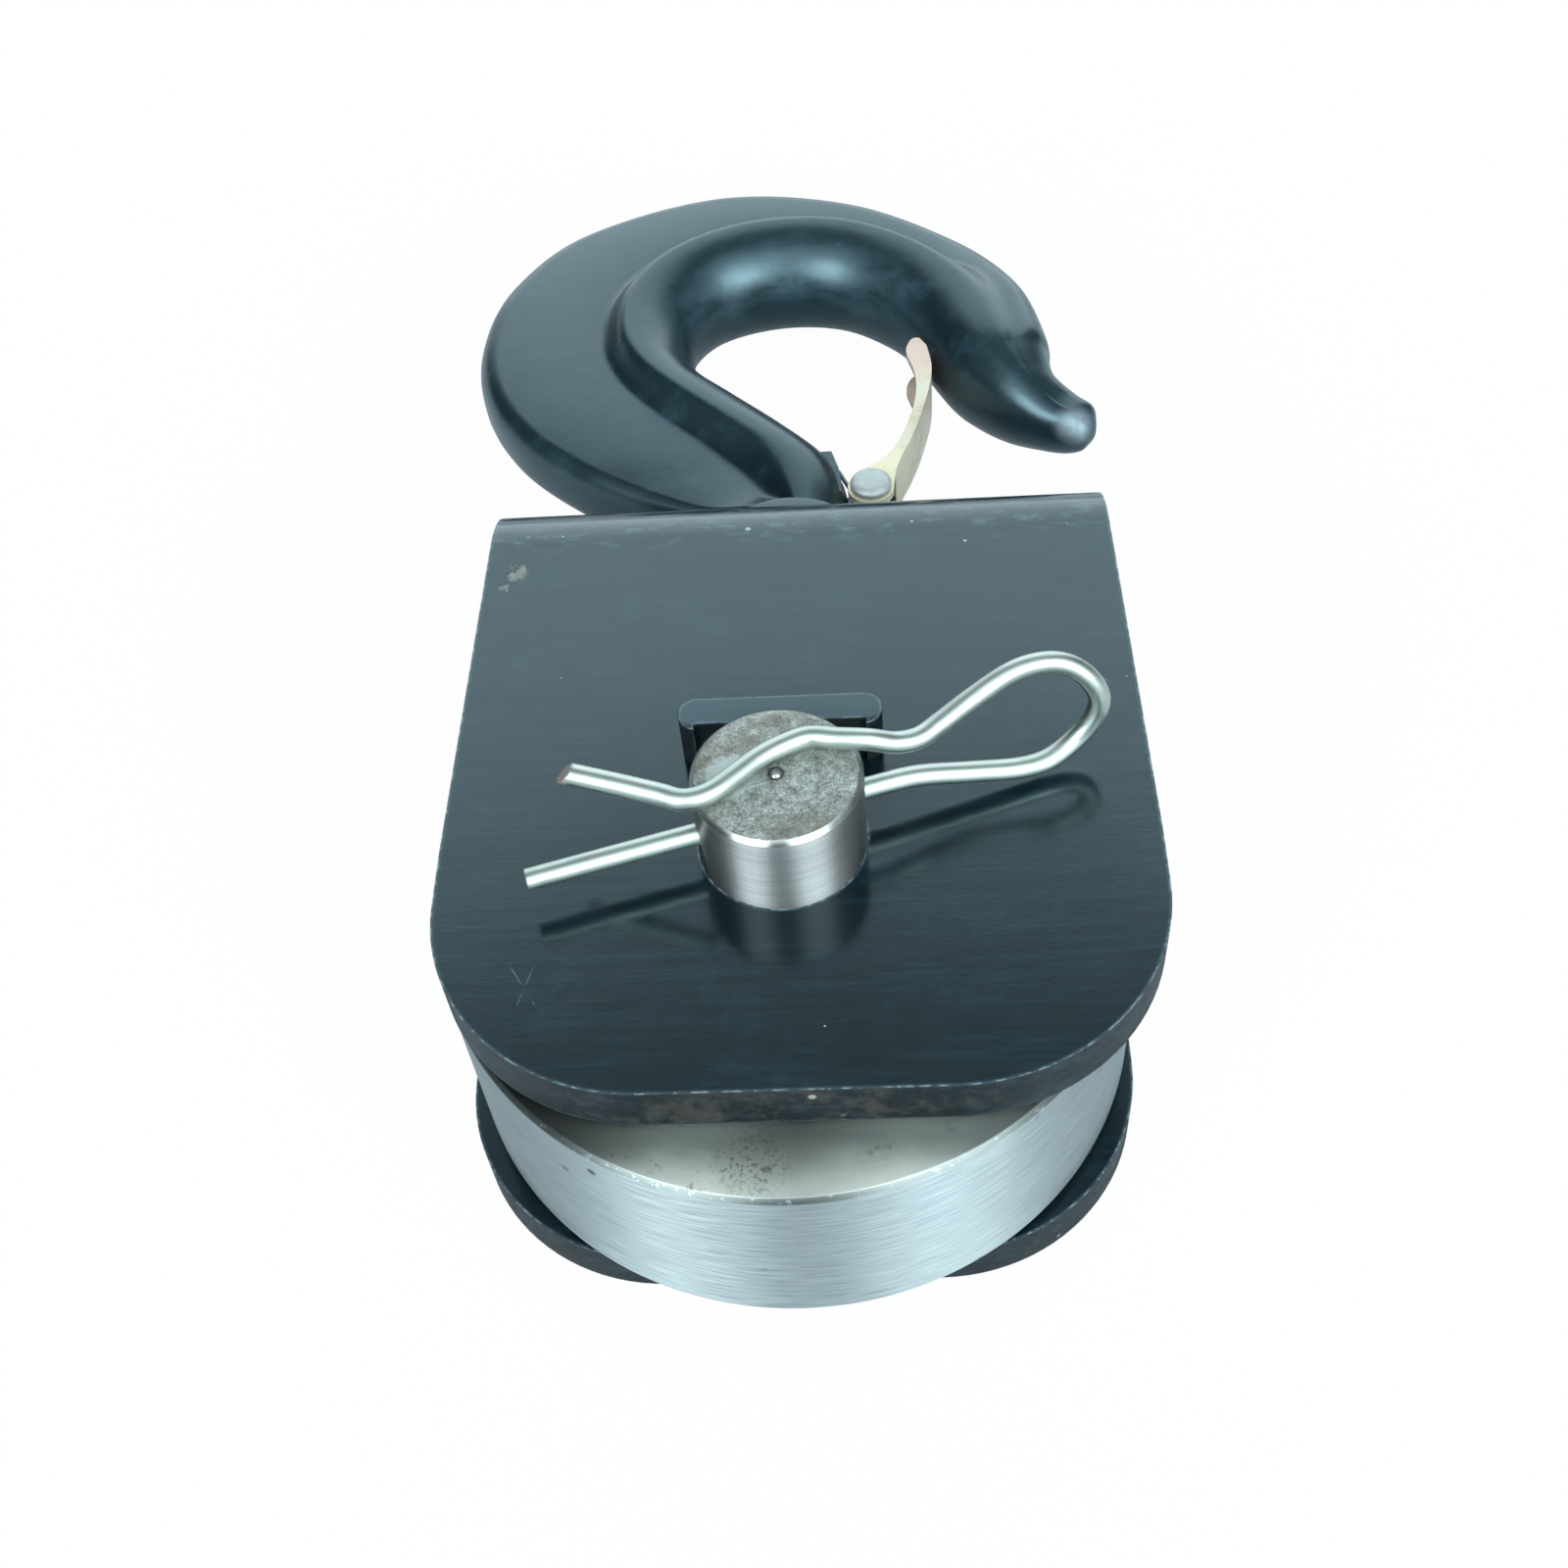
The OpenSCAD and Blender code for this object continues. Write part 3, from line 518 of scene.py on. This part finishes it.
def zinc_wire():
    """Bright zinc plating with a faint green and rainbow cast."""
    f = Finish("zinc_wire")
    cast = f.noise(55, 3, 0.5, distortion=0.6)
    colour = f.ramp(cast, (0.3, srgb("96a398")), (0.5, srgb("acb1aa")), (0.7, srgb("9fa8a2")))
    # the sheared upper end is bare and brownish
    end = HOLE_TURN @ Vector((-40.7, 12.3, CLIP_RISE)) + Vector((0, 0, HOLE_Z))
    cut = f.spots([(*end, 3.1)], 0.0002)
    colour = f.mix(f.times(cut, 0.9), colour, srgb("5a4740"))
    rough = f.add_up(f.times(f.noise(300, 4, 0.6), 0.14), 0.31, f.times(cut, 0.2))
    height = f.bump(f.noise(500, 3, 0.6), 0.02, 0.5)
    metal = f.math("SUBTRACT", 1.0, f.times(cut, 0.9))
    return f.set(Base_Color=colour, Metallic=metal, Roughness=rough, Normal=height).material


def sheave_steel():
    """Turned steel: fine marks round the rim, a khaki film and dark spots on the side faces."""
    f = Finish("sheave_steel", Metallic=1.0, Anisotropic=0.93, Anisotropic_Rotation=0.25)
    f.turned_lay()
    x, y, z = f.split()
    around = f.math("ARCTAN2", y, x)
    radius = f.math("SQRT", f.add_up(f.times(x, x), f.times(y, y)))
    lay = f.add("ShaderNodeCombineXYZ")
    f.link(f.times(around, 0.004), lay.inputs[0])
    f.link(z, lay.inputs[1])
    f.link(radius, lay.inputs[2])
    lines = f.add("ShaderNodeTexNoise")
    f.link(lay.outputs[0], lines.inputs["Vector"])
    lines.inputs["Scale"].default_value = 1600
    lines.inputs["Detail"].default_value = 3
    brushed = lines.outputs["Fac"]
    tone = f.mix(f.step(brushed, 0.2, 0.8), srgb("8a908f"), srgb("b9bdbc"))
    tone = f.mix(f.times(f.noise(18, 3), 0.4), tone, srgb("868f93"))
    # side faces
    side = f.step(f.math("ABSOLUTE", f.facing()[2]), 0.75, 0.95)
    film = f.mix(f.noise(35, 5, 0.65), srgb("b9baae"), srgb("dcddd4"))
    stains = f.step(f.noise(160, 6, 0.75, offset=(1, 4, 2)), 0.58, 0.68)
    film = f.mix(f.times(stains, 0.6), film, srgb("4a4842"))
    # painted shade: the faces are darkened under the front cheek and towards the sides, which leaves a lighter
    # patch at the front
    wobble = f.times(f.math("SUBTRACT", f.noise(60, 4, 0.6), 0.5), 0.006)
    cheek_shade = f.step(f.add_up(y, f.times(x, x, 1.2), wobble), -0.0735, -0.0605)
    film = f.mix(f.times(cheek_shade, 0.85), film, srgb("4c524e"))
    middle = f.step(f.vector("DISTANCE", f.place, (-0.007, -0.0665, sheave_high.z * MM)), 0.010, 0.003)
    specks = f.times(middle, f.step(f.noise(1100, 3, 0.7), 0.53, 0.6))
    film = f.mix(f.times(specks, 0.6), film, srgb("4a4037"))
    tone = f.mix(side, tone, film)
    # film and bright nicks on the broken edge of the rim
    broken = f.times(f.step(f.math("ABSOLUTE", f.facing()[2]), 0.3, 0.5), f.math("SUBTRACT", 1.0, side))
    nicks = f.step(f.noise(600, 3, 0.7), 0.6, 0.68)
    tone = f.mix(f.times(broken, f.math("SUBTRACT", 1.0, nicks), 0.7), tone, srgb("4d5048"))
    # pits on the rim
    pits = f.times(f.step(f.cells(95, offset=(0.3, 0.7, 0.1)), 0.14, 0.05),
                   f.step(f.noise(40, 2, offset=(5, 5, 5)), 0.52, 0.6))
    tone = f.mix(f.times(pits, 0.85), tone, srgb("3b4246"))
    # lighter rim edges: edge wear with a painted edge highlight
    rim = f.times(f.edge_mask(0.8, 0.03, 0.2), f.step(f.noise(350, 4), 0.42, 0.55))
    tone = f.mix(f.times(rim, 0.35), tone, srgb("c3c9cb"))
    rough = f.add_up(f.times(brushed, 0.12), 0.34)
    height = f.bump(brushed, 0.01, 0.4)
    height = f.bump(f.math("SUBTRACT", 1.0, pits), 0.1, 0.7, height)
    return f.set(Base_Color=tone, Roughness=rough, Normal=height).material


def axle_steel():
    """Turned steel with a sawn, finely stained end."""
    f = Finish("axle_steel", Anisotropic_Rotation=0.25)
    f.turned_lay()
    x, y, z = f.split()
    top_z = AXLE_END
    flat = f.step(f.facing()[2], 0.6, 0.85)
    grain = f.add_up(f.times(f.noise(2300, 3, 0.7), 0.55), f.times(f.noise(420, 4, 0.7, offset=(1, 1, 1)), 0.45))
    blotch = f.noise(120, 4, 0.65, offset=(2, 2, 0))
    speckled = f.ramp(grain, (0.34, srgb("45433e")), (0.5, srgb("83867f")), (0.64, srgb("b4b9b5")))
    stained = f.most(f.step(f.math("SUBTRACT", y, x), -0.004, 0.02), f.step(y, -0.006, -0.014))
    brown = f.times(f.step(blotch, 0.42, 0.62), stained)
    speckled = f.mix(f.times(brown, 0.7), speckled, f.mix(grain, srgb("3d372f"), srgb("82796c")))
    # painted highlight: a soft light patch on the left of the sawn end
    bright = f.times(f.spots([(-9, 0, top_z, 8)], 0.004), 0.45)
    speckled = f.mix(bright, speckled, srgb("c9d2cf"))
    # painted shade: a dark ring round the foot of the dome
    dome = f.vector("DISTANCE", f.place, (0, 0, top_z * MM))
    speckled = f.mix(f.step(dome, 0.0021, 0.0014, 0, 0.9), speckled, srgb("23221f"))
    speckled = f.mix(f.step(z, (top_z + 0.3) * MM, (top_z + 0.5) * MM), speckled, srgb("6c6e6b"))
    rings = f.noise(1400, 3, 0.6, stretch=(0.02, 0.02, 1))
    turned = f.mix(rings, srgb("7c7c7a"), srgb("a9a8a5"))
    streak = f.step(f.noise(210, 4, 0.6, stretch=(1, 1, 0.08)), 0.45, 0.62)
    turned = f.mix(f.times(streak, 0.3), turned, srgb("7d807f"))
    tone = f.mix(flat, turned, speckled)
    broken = f.times(f.step(f.facing()[2], 0.35, 0.55), f.math("SUBTRACT", 1.0, flat))
    rough = f.math("SUBTRACT", f.add_up(f.times(rings, 0.1), 0.4), f.times(broken, 0.2))
    lay = f.math("SUBTRACT", 0.93, f.times(flat, 0.93))
    metal = f.math("SUBTRACT", 1.0, f.times(flat, 0.35))
    height = f.bump(rings, 0.02, 0.5)
    height = f.bump(f.times(grain, flat), 0.14, 0.7, height)
    return f.set(Base_Color=tone, Metallic=metal, Roughness=rough, Anisotropic=lay, Normal=height).material


def latch_zinc():
    """Yellow-passivated zinc sheet, pinkish and whitish in places."""
    f = Finish("latch_zinc", Metallic=0.35)
    patch = f.noise(70, 4, 0.6, distortion=0.8)
    tone = f.ramp(patch, (0.3, srgb("a0937c")), (0.5, srgb("b8ad97")), (0.68, srgb("b3b1a5")))
    y = f.split()[1]
    tone = f.mix(f.times(f.step(y, 0.176, 0.19), 0.7), tone, srgb("b79a90"))
    tone = f.mix(f.times(f.step(y, 0.162, 0.142), 0.8), tone, srgb("d3caa9"))
    speck = f.step(f.noise(420, 4, 0.7), 0.58, 0.7)
    tone = f.mix(f.times(speck, 0.4), tone, srgb("8c8270"))
    rough = f.add_up(f.times(f.noise(200, 4), 0.2), 0.34)
    return f.set(Base_Color=tone, Roughness=rough, Normal=f.bump(f.noise(350, 3), 0.05, 0.5)).material


def plain_steel(name, dark, light, metallic=1.0, rough=0.28, grain=500):
    """Ground or rolled steel with fine mottling and a painted highlight on the edges."""
    f = Finish(name, Metallic=metallic)
    tone = f.mix(f.noise(grain, 4, 0.6), srgb(dark), srgb(light))
    # every edge is painted lighter: a painted edge highlight
    tone = f.mix(f.times(f.edge_mask(0.5), 0.4), tone, srgb("dfe3e4"))
    level = f.add_up(f.times(f.noise(grain * 0.4, 4, 0.6), 0.16), rough)
    return f.set(Base_Color=tone, Roughness=level, Normal=f.bump(f.noise(grain, 3), 0.02, 0.5)).material


MATERIALS = {
    "black_paint": plate_paint(),
    "hook_paint": hook_paint(),
    "zinc_wire": zinc_wire(),
    "sheave_steel": sheave_steel(),
    "axle_steel": axle_steel(),
    "latch_zinc": latch_zinc(),
    "fastener_steel": plain_steel("fastener_steel", "959a97", "bfc3c0", metallic=0.6, rough=0.5),
    "bearing_steel": plain_steel("bearing_steel", "a7abad", "cfd3d5", rough=0.15),
    "bronze": plain_steel("bronze", "8a6c34", "b3934f", rough=0.3),
    "spring_steel": plain_steel("spring_steel", "3c4043", "6b7073", rough=0.3),
}


def dress(piece, slot):
    """The slot's material on every face of a piece or CAD node."""
    piece.data.materials.clear()
    piece.data.materials.append(MATERIALS[slot])


# Hook

BOWL_R = 29.0
# half thicknesses of the ridge and of the flange
RIDGE = 17.5
FLANGE = 10.0
SHANK_R = 14.0
THREAD_R = 13.5
THREAD_ROOT_R = 12.7
THREAD_PITCH = 1.5
COLLAR_R = 22.0
COLLAR_T = 8.0
BOSS_H = 5.0
SHOULDER_H = 18.0


def from_bowl(angle, radius):
    a = math.radians(angle)
    return (BOWL.x + radius * math.cos(a), BOWL.y + radius * math.sin(a))


def hook_sections():
    """Sections of the forging: inner point, outer point, half thicknesses, nose, foot and edge."""
    x, y = SHANK_R, WEB_Y
    rows = [
        (x + 1, y + 4, -x - 1, y + 4, x + 1, x + 1, 13, 15, 12),
        (x + 0.6, y + 13, -x - 2.5, y + 13, 14.8, 14.2, 13, 15, 12),
        (x + 0.8, y + 25, -x - 14, y + 16, 15.5, 11, 14, 24, 8)]
    neck = (
        (10.2, -48.8, -45.2, -61, 0.94, 0.86),
        (1, -38, -61.5, -50, 0.98, 0.94),
        (-12.8, -24.5, -78, -34, 1, 1))
    for a, b, c, d, half, nose in neck:
        rows.append((BOWL.x + a, BOWL.y + b, BOWL.x + c, BOWL.y + d, half * RIDGE, FLANGE, nose * RIDGE, 28, 8))
    # bowl: inner angle, what its radius is more or less there, outer angle, width, ridge
    bowl = (
        (212, -1.5, 189, 60.7, 28), (188, 0.2, 175, 62.7, 28), (160, 1.5, 159, 62.3, 28),
        (130, 1.2, 139, 57.5, 28), (98, -1, 109, 47.7, 28), (64, -1, 77, 39.7, 26), (30, 0.5, 44, 37.3, 26))
    for inner, more, outer, width, foot in bowl:
        rows.append((*from_bowl(inner, BOWL_R + more), *from_bowl(outer, BOWL_R + width),
                     RIDGE, FLANGE, RIDGE, foot, 8))
    tip = (
        (33.3, 3.7, 64.8, 20.1, 17.3, 13.6, 16, 28.5, 7),
        (40.5, -10.7, 70.8, -2.5, 16.8, 15.3, 14.5, 22.5, 9),
        (46.3, -18.5, 70.8, -10, 15.3, 14.8, 12, 15.5, 10.4),
        (55, -27.5, 72.2, -18, 12.3, 12.15, 9, 10.6, 9),
        (64, -34, 77.6, -24.4, 8.7, 8.5, 6.5, 7.5, 6.5),
        (70.8, -37.1, 81.5, -28, 7.2, 7.2, 5.5, 6, 5.5),
        (76.2, -38.2, 81.8, -31.5, 4.6, 4.6, 3, 4, 3),
        (78.5, -37.6, 81.6, -33.5, 2, 2, 1.4, 1.8, 1.4))
    for a, b, c, d, *rest in tip:
        rows.append((BOWL.x + a, BOWL.y + b, BOWL.x + c, BOWL.y + d, *rest))
    return rows


def section_ring(row, nose_steps=12, slope_steps=8, edge_steps=9):
    """Closed ring of points round one section of the forging."""
    inner, across = Vector(row[0:2]), Vector(row[2:4]) - Vector(row[0:2])
    width = across.length
    ridge, flange, nose, foot, edge = row[4:9]
    nose = min(nose, 0.46 * width)
    edge = min(edge, 0.46 * width)
    foot = min(max(foot, nose + 0.04 * width), width - edge)
    half = []
    for k in range(nose_steps + 1):
        a = math.pi / 2 * k / nose_steps
        half.append((nose * (1 - math.cos(a)), ridge * math.sin(a)))
    for k in range(1, slope_steps + 1):
        t = k / slope_steps
        u = min(max((t - 0.12) / 0.76, 0), 1)
        half.append((nose + (foot - nose) * t, ridge + (flange - ridge) * u * u * (3 - 2 * u)))
    for k in range(1, edge_steps + 1):
        a = math.pi / 2 * k / edge_steps
        half.append((width - edge + edge * math.sin(a), flange * max(math.cos(a), 0) ** 0.75))
    loop = half + [(u, -v) for u, v in reversed(half[1:-1])]
    return [(*(inner + across * (u / width)), MID_Z - v) for u, v in loop]


def make_hook():
    rings = [section_ring(row) for row in smooth_path(hook_sections(), 8)]
    piece = new_piece("hook_forging", *skin(rings), "hook", "hook_paint", ("hook",), 50)
    y = nut_low.y + 0.9
    profile = [(nut_low.y, THREAD_R - 1.1), (y, THREAD_R)]
    while y < thrust_low.y - 1.6:
        profile += [(y + THREAD_PITCH / 2, THREAD_ROOT_R), (y + THREAD_PITCH, THREAD_R)]
        y += THREAD_PITCH
    collar_y = WEB_Y + 0.3
    collar_end = collar_y + COLLAR_T
    profile += [
        (thrust_low.y, THREAD_R), (thrust_low.y, SHANK_R), (collar_y, SHANK_R), (collar_y, COLLAR_R - 0.8),
        (collar_y + 0.8, COLLAR_R), (collar_end - 1.5, COLLAR_R), (collar_end - 0.4, COLLAR_R - 0.4),
        (collar_end, 20.5), (collar_end + 0.8, 17.2), (collar_end + 2.4, 15.6), (collar_end + 3.6, 13.0)]
    shank = mesh_object("shank", *skin(lathe_y(profile, (0, MID_Z))))
    low, high = MID_Z - BOSS_H / 2, MID_Z + BOSS_H / 2
    boss = mesh_object("boss", *skin(lathe_z(
        [(low, 6.2), (low + 0.4, 6.6), (high - 0.4, 6.6), (high, 6.2)], LATCH_PIN)))
    # low shoulder on the neck beside the latch's ear
    nx, ny = BOWL.x + 10.2, BOWL.y - 48.8
    side = [(-0.8, 1.8), (1, -4.7), (1.6, -8.7), (1.6, -14), (-3, -14), (-5, 1.8)]
    shoulder = mesh_object("shoulder", *skin(
        [[(nx + a, ny + b, MID_Z + h) for a, b in reversed(side)] for h in (-SHOULDER_H / 2, SHOULDER_H / 2)]))
    combine(piece, [shank, boss, shoulder], "UNION")
    # bores for the latch pin and the roll pin
    drills = [mesh_object(name, *skin(lathe_z([(MID_Z - 30, r), (MID_Z + 30, r)], place)))
              for name, r, place in (("bore", 3.0, LATCH_PIN), ("cross", 2.5, (0, NUT_MID_Y)))]
    combine(piece, drills, "DIFFERENCE")
    clean_normals(piece.data)
    shade(piece.data, 42)
    dress(piece, "hook_paint")
    return piece


# Clip

def clip_path():
    """Straight leg, loop, and the wave that rests on the axle: along, across, above the leg."""
    r = CLIP_RISE
    route = [
        (22, 0, 0), (30, 0, -0.7), (41, -0.9, -3), (51, -1.7, -4.9), (58, -1.4, -4.9), (64.5, 0, -2),
        (68, 0.5, 2.5), (69, 0.8, 8), (67, 2.3, 13), (63, 4.3, 16.5), (58, 5.4, 17.8), (51.5, 5.7, 17),
        (43, 4.4, 14), (35, 2, 11.8), (30, 0.3, 11.2), (25, 0, 12), (19.5, 0.8, r - 0.7), (14, 2.4, r),
        (8.4, 4.8, r), (2.6, 4.3, r), (-2.6, 2.8, r), (-7.3, 0.6, r), (-12.5, -1.9, r), (-16.2, -2.8, r),
        (-19.8, -2.2, r), (-23.6, 0.6, r), (-31.3, 6, r), (-39.3, 11.4, r)]
    leg = [(s, 0, 0) for s in (-53, -52, -40, -28, -16, -4, 8, 16)]
    points = leg + smooth_path(route, 8)
    return [HOLE_TURN @ Vector(p) + Vector((0, 0, HOLE_Z)) for p in points]


def make_clip():
    rings = wire_rings(clip_path(), WIRE_R, 28)
    # the upper end is sheared on a slant that faces up
    centre = sum(rings[-2], Vector()) / len(rings[-2])
    heading = (centre - sum(rings[-3], Vector()) / len(rings[-3])).normalized()
    for i in (-2, -1):
        rings[i] = [q + heading * (1.1 - 0.85 * (q - centre).z) for q in rings[i]]
    piece = new_piece("clip_wire", *skin(rings), "clip", "zinc_wire", ("spring_clip",), 35)
    dress(piece, "zinc_wire")
    return piece


# Latch spring

def make_spring():
    """Torsion spring in two lengths that meet in its coil: one leg stays on the hook, one turns with the latch."""
    centre = Vector((*LATCH_PIN, MID_Z))
    coil_r, low, high = 4.45, 3.2, 5.3
    coil = []
    for k in range(28):
        a = math.pi + 2 * math.pi * k / 18
        coil.append((coil_r * math.cos(a), coil_r * math.sin(a), low + (high - low) * k / 27))
    on_hook = [(-8.6, 11.4, low), (-6.7, 6.9, low), (-4.85, 2.5, low)] + coil[:14]
    on_latch = coil[10:] + [(3.4, 4.2, high), (4.4, 7.9, high), (6.95, 16.4, high)]
    for name, path, body, radius, node in (("spring_hook_leg", on_hook, "hook", 0.55, ()),
                                           ("spring_latch_leg", on_latch, "latch", 0.5, ("latch_spring",))):
        rings = wire_rings([centre + Vector(p) for p in path], radius, 16, 0.15)
        piece = new_piece(name, *skin(rings), body, "spring_steel", node, 40)
        dress(piece, "spring_steel")


# Turned pieces

def make_sheave():
    """The sheave as one lathe form, with the bearing seats and retaining ring grooves."""
    low, high, r = sheave_low.z, sheave_high.z, sheave_high.x
    n = 240
    profile = []
    for z, way in ((high, 1), (low, -1)):
        corner = [(r - 1.35, 0), (r - 1.1, 0.03), (r - 0.95, 0.1), (r - 0.1, 0.95), (r - 0.03, 1.1), (r, 1.35)]
        bore = [(36, 21), (36, 4), (37.5, 4), (37.5, 1.35), (36, 1.35), (36, 0.2), (36.2, 0)]
        half = [(a, z - way * b) for a, b in [(30.08, 21)] + bore + corner]
        profile += half if way > 0 else half[::-1]
    rings = lathe_z([(z, a) for a, z in profile], (0, 0), n)
    verts = [p for ring in rings for p in ring]
    rows = len(rings)
    faces = [(i * n + j, i * n + (j + 1) % n, (i + 1) % rows * n + (j + 1) % n, (i + 1) % rows * n + j)
             for i in range(rows) for j in range(n)]
    piece = new_piece("turned_sheave", verts, faces, "sheave", "sheave_steel", ("sheave",), 32)
    dress(piece, "sheave_steel")
    return piece


def make_axle():
    """The axle with its head, the small dome left on its sawn end, and the hole for the clip."""
    end, r = AXLE_END, AXLE_R
    head_r, head_t = 23.5, 5.5
    # radius of the ball whose cap is the dome
    ball = (PIP_R ** 2 + PIP_H ** 2) / PIP_H / 2
    profile = [(0, 0.05), (0, head_r - 0.6), (0.6, head_r), (head_t, head_r), (head_t, r), (HOLE_Z - 5, r),
               (HOLE_Z + 5, r), (end - 1.3, r), (end - 1.15, r - 0.02), (end - 1.0, r - 0.1), (end - 0.1, r - 1),
               (end - 0.03, r - 1.08), (end, r - 1.3), (end, PIP_R + 0.4), (end + 0.04, PIP_R + 0.1)]
    start = math.asin(min(PIP_R / ball, 1))
    for k in range(1, 9):
        a = start * (1 - k / 8)
        profile.append((end + PIP_H - ball * (1 - math.cos(a)), max(ball * math.sin(a), 0.03)))
    piece = new_piece("turned_axle", *skin(lathe_z(profile, (0, 0), 128)), "axle", "axle_steel", ("axle",), 35)
    rings = [[HOLE_TURN @ Vector((s, HOLE_R * math.cos(a), HOLE_R * math.sin(a))) + Vector((0, 0, HOLE_Z))
              for a in (2 * math.pi * j / 48 for j in range(48))] for s in (-24, 24)]
    combine(piece, [mesh_object("clip_hole", *skin(rings))], "DIFFERENCE")
    clean_normals(piece.data)
    shade(piece.data, 35)
    dress(piece, "axle_steel")
    return piece


# Nodes from the frame

def dress_nodes():
    slots = {s["node"]: s["material_slot"] for s in frame["record"]["subparts"]}
    for name, node in NODES.items():
        if name in ("hook", "spring_clip", "sheave", "axle", "latch_spring"):
            continue
        dress(node, slots[name])
    for name, width in (("strap", 0.9), ("stop_lug", 0.6), ("latch", 0.6),
                        ("hook_nut", 0.4), ("latch_pin", 0.3), ("front_side_washer", 0.3),
                        ("back_side_washer", 0.3), ("hook_thrust_washer", 0.3)):
        soften(NODES[name], width)


# Studio

LAMP = 11
PHOTO_WIDTH = 1600
FOCAL_PIXELS = 1979


def make_floor():
    """Pale floor that the camera sees as white, with a trace of the shadow."""
    size, level = 3.0, -0.0003
    corners = [(a * size, b * size, level) for a, b in ((-1, -1), (1, -1), (1, 1), (-1, 1))]
    mesh = bpy.data.meshes.new("floor")
    mesh.from_pydata(corners, [], [(0, 1, 2, 3)])
    floor = bpy.data.objects.new("floor", mesh)
    bpy.context.scene.collection.objects.link(floor)
    material = bpy.data.materials.new("floor_white")
    material.use_nodes = True
    tree = material.node_tree
    tree.nodes.clear()
    out = tree.nodes.new("ShaderNodeOutputMaterial")
    diffuse = tree.nodes.new("ShaderNodeBsdfDiffuse")
    diffuse.inputs["Color"].default_value = (0.46, 0.48, 0.49, 1)
    glow = tree.nodes.new("ShaderNodeEmission")
    glow.inputs["Color"].default_value = (1, 1, 1, 1)
    glow.inputs["Strength"].default_value = 1.0
    rays = tree.nodes.new("ShaderNodeLightPath")
    share = tree.nodes.new("ShaderNodeMath")
    share.operation = "MULTIPLY"
    share.inputs[1].default_value = 0.97
    tree.links.new(rays.outputs["Is Camera Ray"], share.inputs[0])
    mix = tree.nodes.new("ShaderNodeMixShader")
    tree.links.new(share.outputs[0], mix.inputs[0])
    tree.links.new(diffuse.outputs[0], mix.inputs[1])
    tree.links.new(glow.outputs[0], mix.inputs[2])
    tree.links.new(mix.outputs[0], out.inputs["Surface"])
    mesh.materials.append(material)


def make_light():
    """A cool white room: bright behind and in front, dark overhead and on the left."""
    world = bpy.data.worlds.new("studio")
    bpy.context.scene.world = world
    world.use_nodes = True
    w = Nodes(world.node_tree, "Generated")
    x, y, z = w.split()
    flat = w.math("SQRT", w.add_up(w.times(x, x), w.times(y, y)))
    ahead = w.math("DIVIDE", w.add_up(w.times(y, 0.996), w.times(x, -0.087)), flat)
    behind = w.times(w.step(z, 0.73, 0.87, 2.6, 0.4), w.step(ahead, 0.62, 0.86, 0.12, 1))
    before = w.times(w.step(z, 0.2, 0.6, 1.6, 2.4), w.step(z, 0.90, 0.985, 1.0, 0.35))
    share = w.step(y, -0.2, 0.2)
    level = w.add_up(w.times(behind, share), w.times(before, w.math("SUBTRACT", 1.0, share)))
    # dark on the left, dimmer on the right and straight in front: outer and inner angle, and what is left
    for turn, rise, outer, inner, left in ((-82, 14, 62, 30, 0.08), (78, 20, 50, 18, 0.5), (-173, 20, 28, 10, 0.1)):
        edges = math.cos(math.radians(outer)), math.cos(math.radians(inner))
        level = w.times(level, w.step(w.towards(turn, rise), *edges, 1, left))
    # a lamp on each side in front
    for turn, rise, edge in ((-147, 28, 0.915), (144, 28, 0.90)):
        level = w.add_up(level, w.times(w.step(w.towards(turn, rise), edge, 0.98), LAMP))
    room = w.add("ShaderNodeBackground")
    room.inputs["Color"].default_value = (0.78, 0.93, 1.0, 1)
    w.link(level, room.inputs["Strength"])
    white = w.add("ShaderNodeBackground")
    white.inputs["Color"].default_value = (1, 1, 1, 1)
    mix = w.add("ShaderNodeMixShader")
    w.link(w.add("ShaderNodeLightPath").outputs["Is Camera Ray"], mix.inputs[0])
    w.link(room.outputs[0], mix.inputs[1])
    w.link(white.outputs[0], mix.inputs[2])
    w.link(mix.outputs[0], w.add("ShaderNodeOutputWorld").inputs["Surface"])


def make_camera():
    """Camera at the photograph's viewing angle, from a fit to the plate, the axle and the sheave."""
    place = Vector((21.72, -240.0, 400.3)) * MM
    yaw, pitch, roll = 4.84, -51.53, 5.89
    turn = (Matrix.Rotation(math.radians(yaw), 3, "Z") @ Matrix.Rotation(math.radians(pitch), 3, "X")
            @ Matrix.Rotation(math.radians(roll), 3, "Y"))
    right, ahead, up = turn.col
    axes = Matrix((right, up, -ahead)).transposed()
    data = bpy.data.cameras.new("camera")
    data.sensor_width = 36
    data.sensor_fit = "HORIZONTAL"
    data.lens = FOCAL_PIXELS / PHOTO_WIDTH * data.sensor_width
    data.clip_start = 0.01
    camera = bpy.data.objects.new("camera", data)
    camera.matrix_world = Matrix.Translation(place) @ axes.to_4x4()
    bpy.context.scene.collection.objects.link(camera)
    bpy.context.scene.camera = camera


make_camera()
make_light()
make_floor()
make_hook()
make_clip()
make_spring()
make_sheave()
make_axle()
dress_nodes()
bpy.context.scene.view_settings.view_transform = "Standard"

bpy.context.view_layer.update()
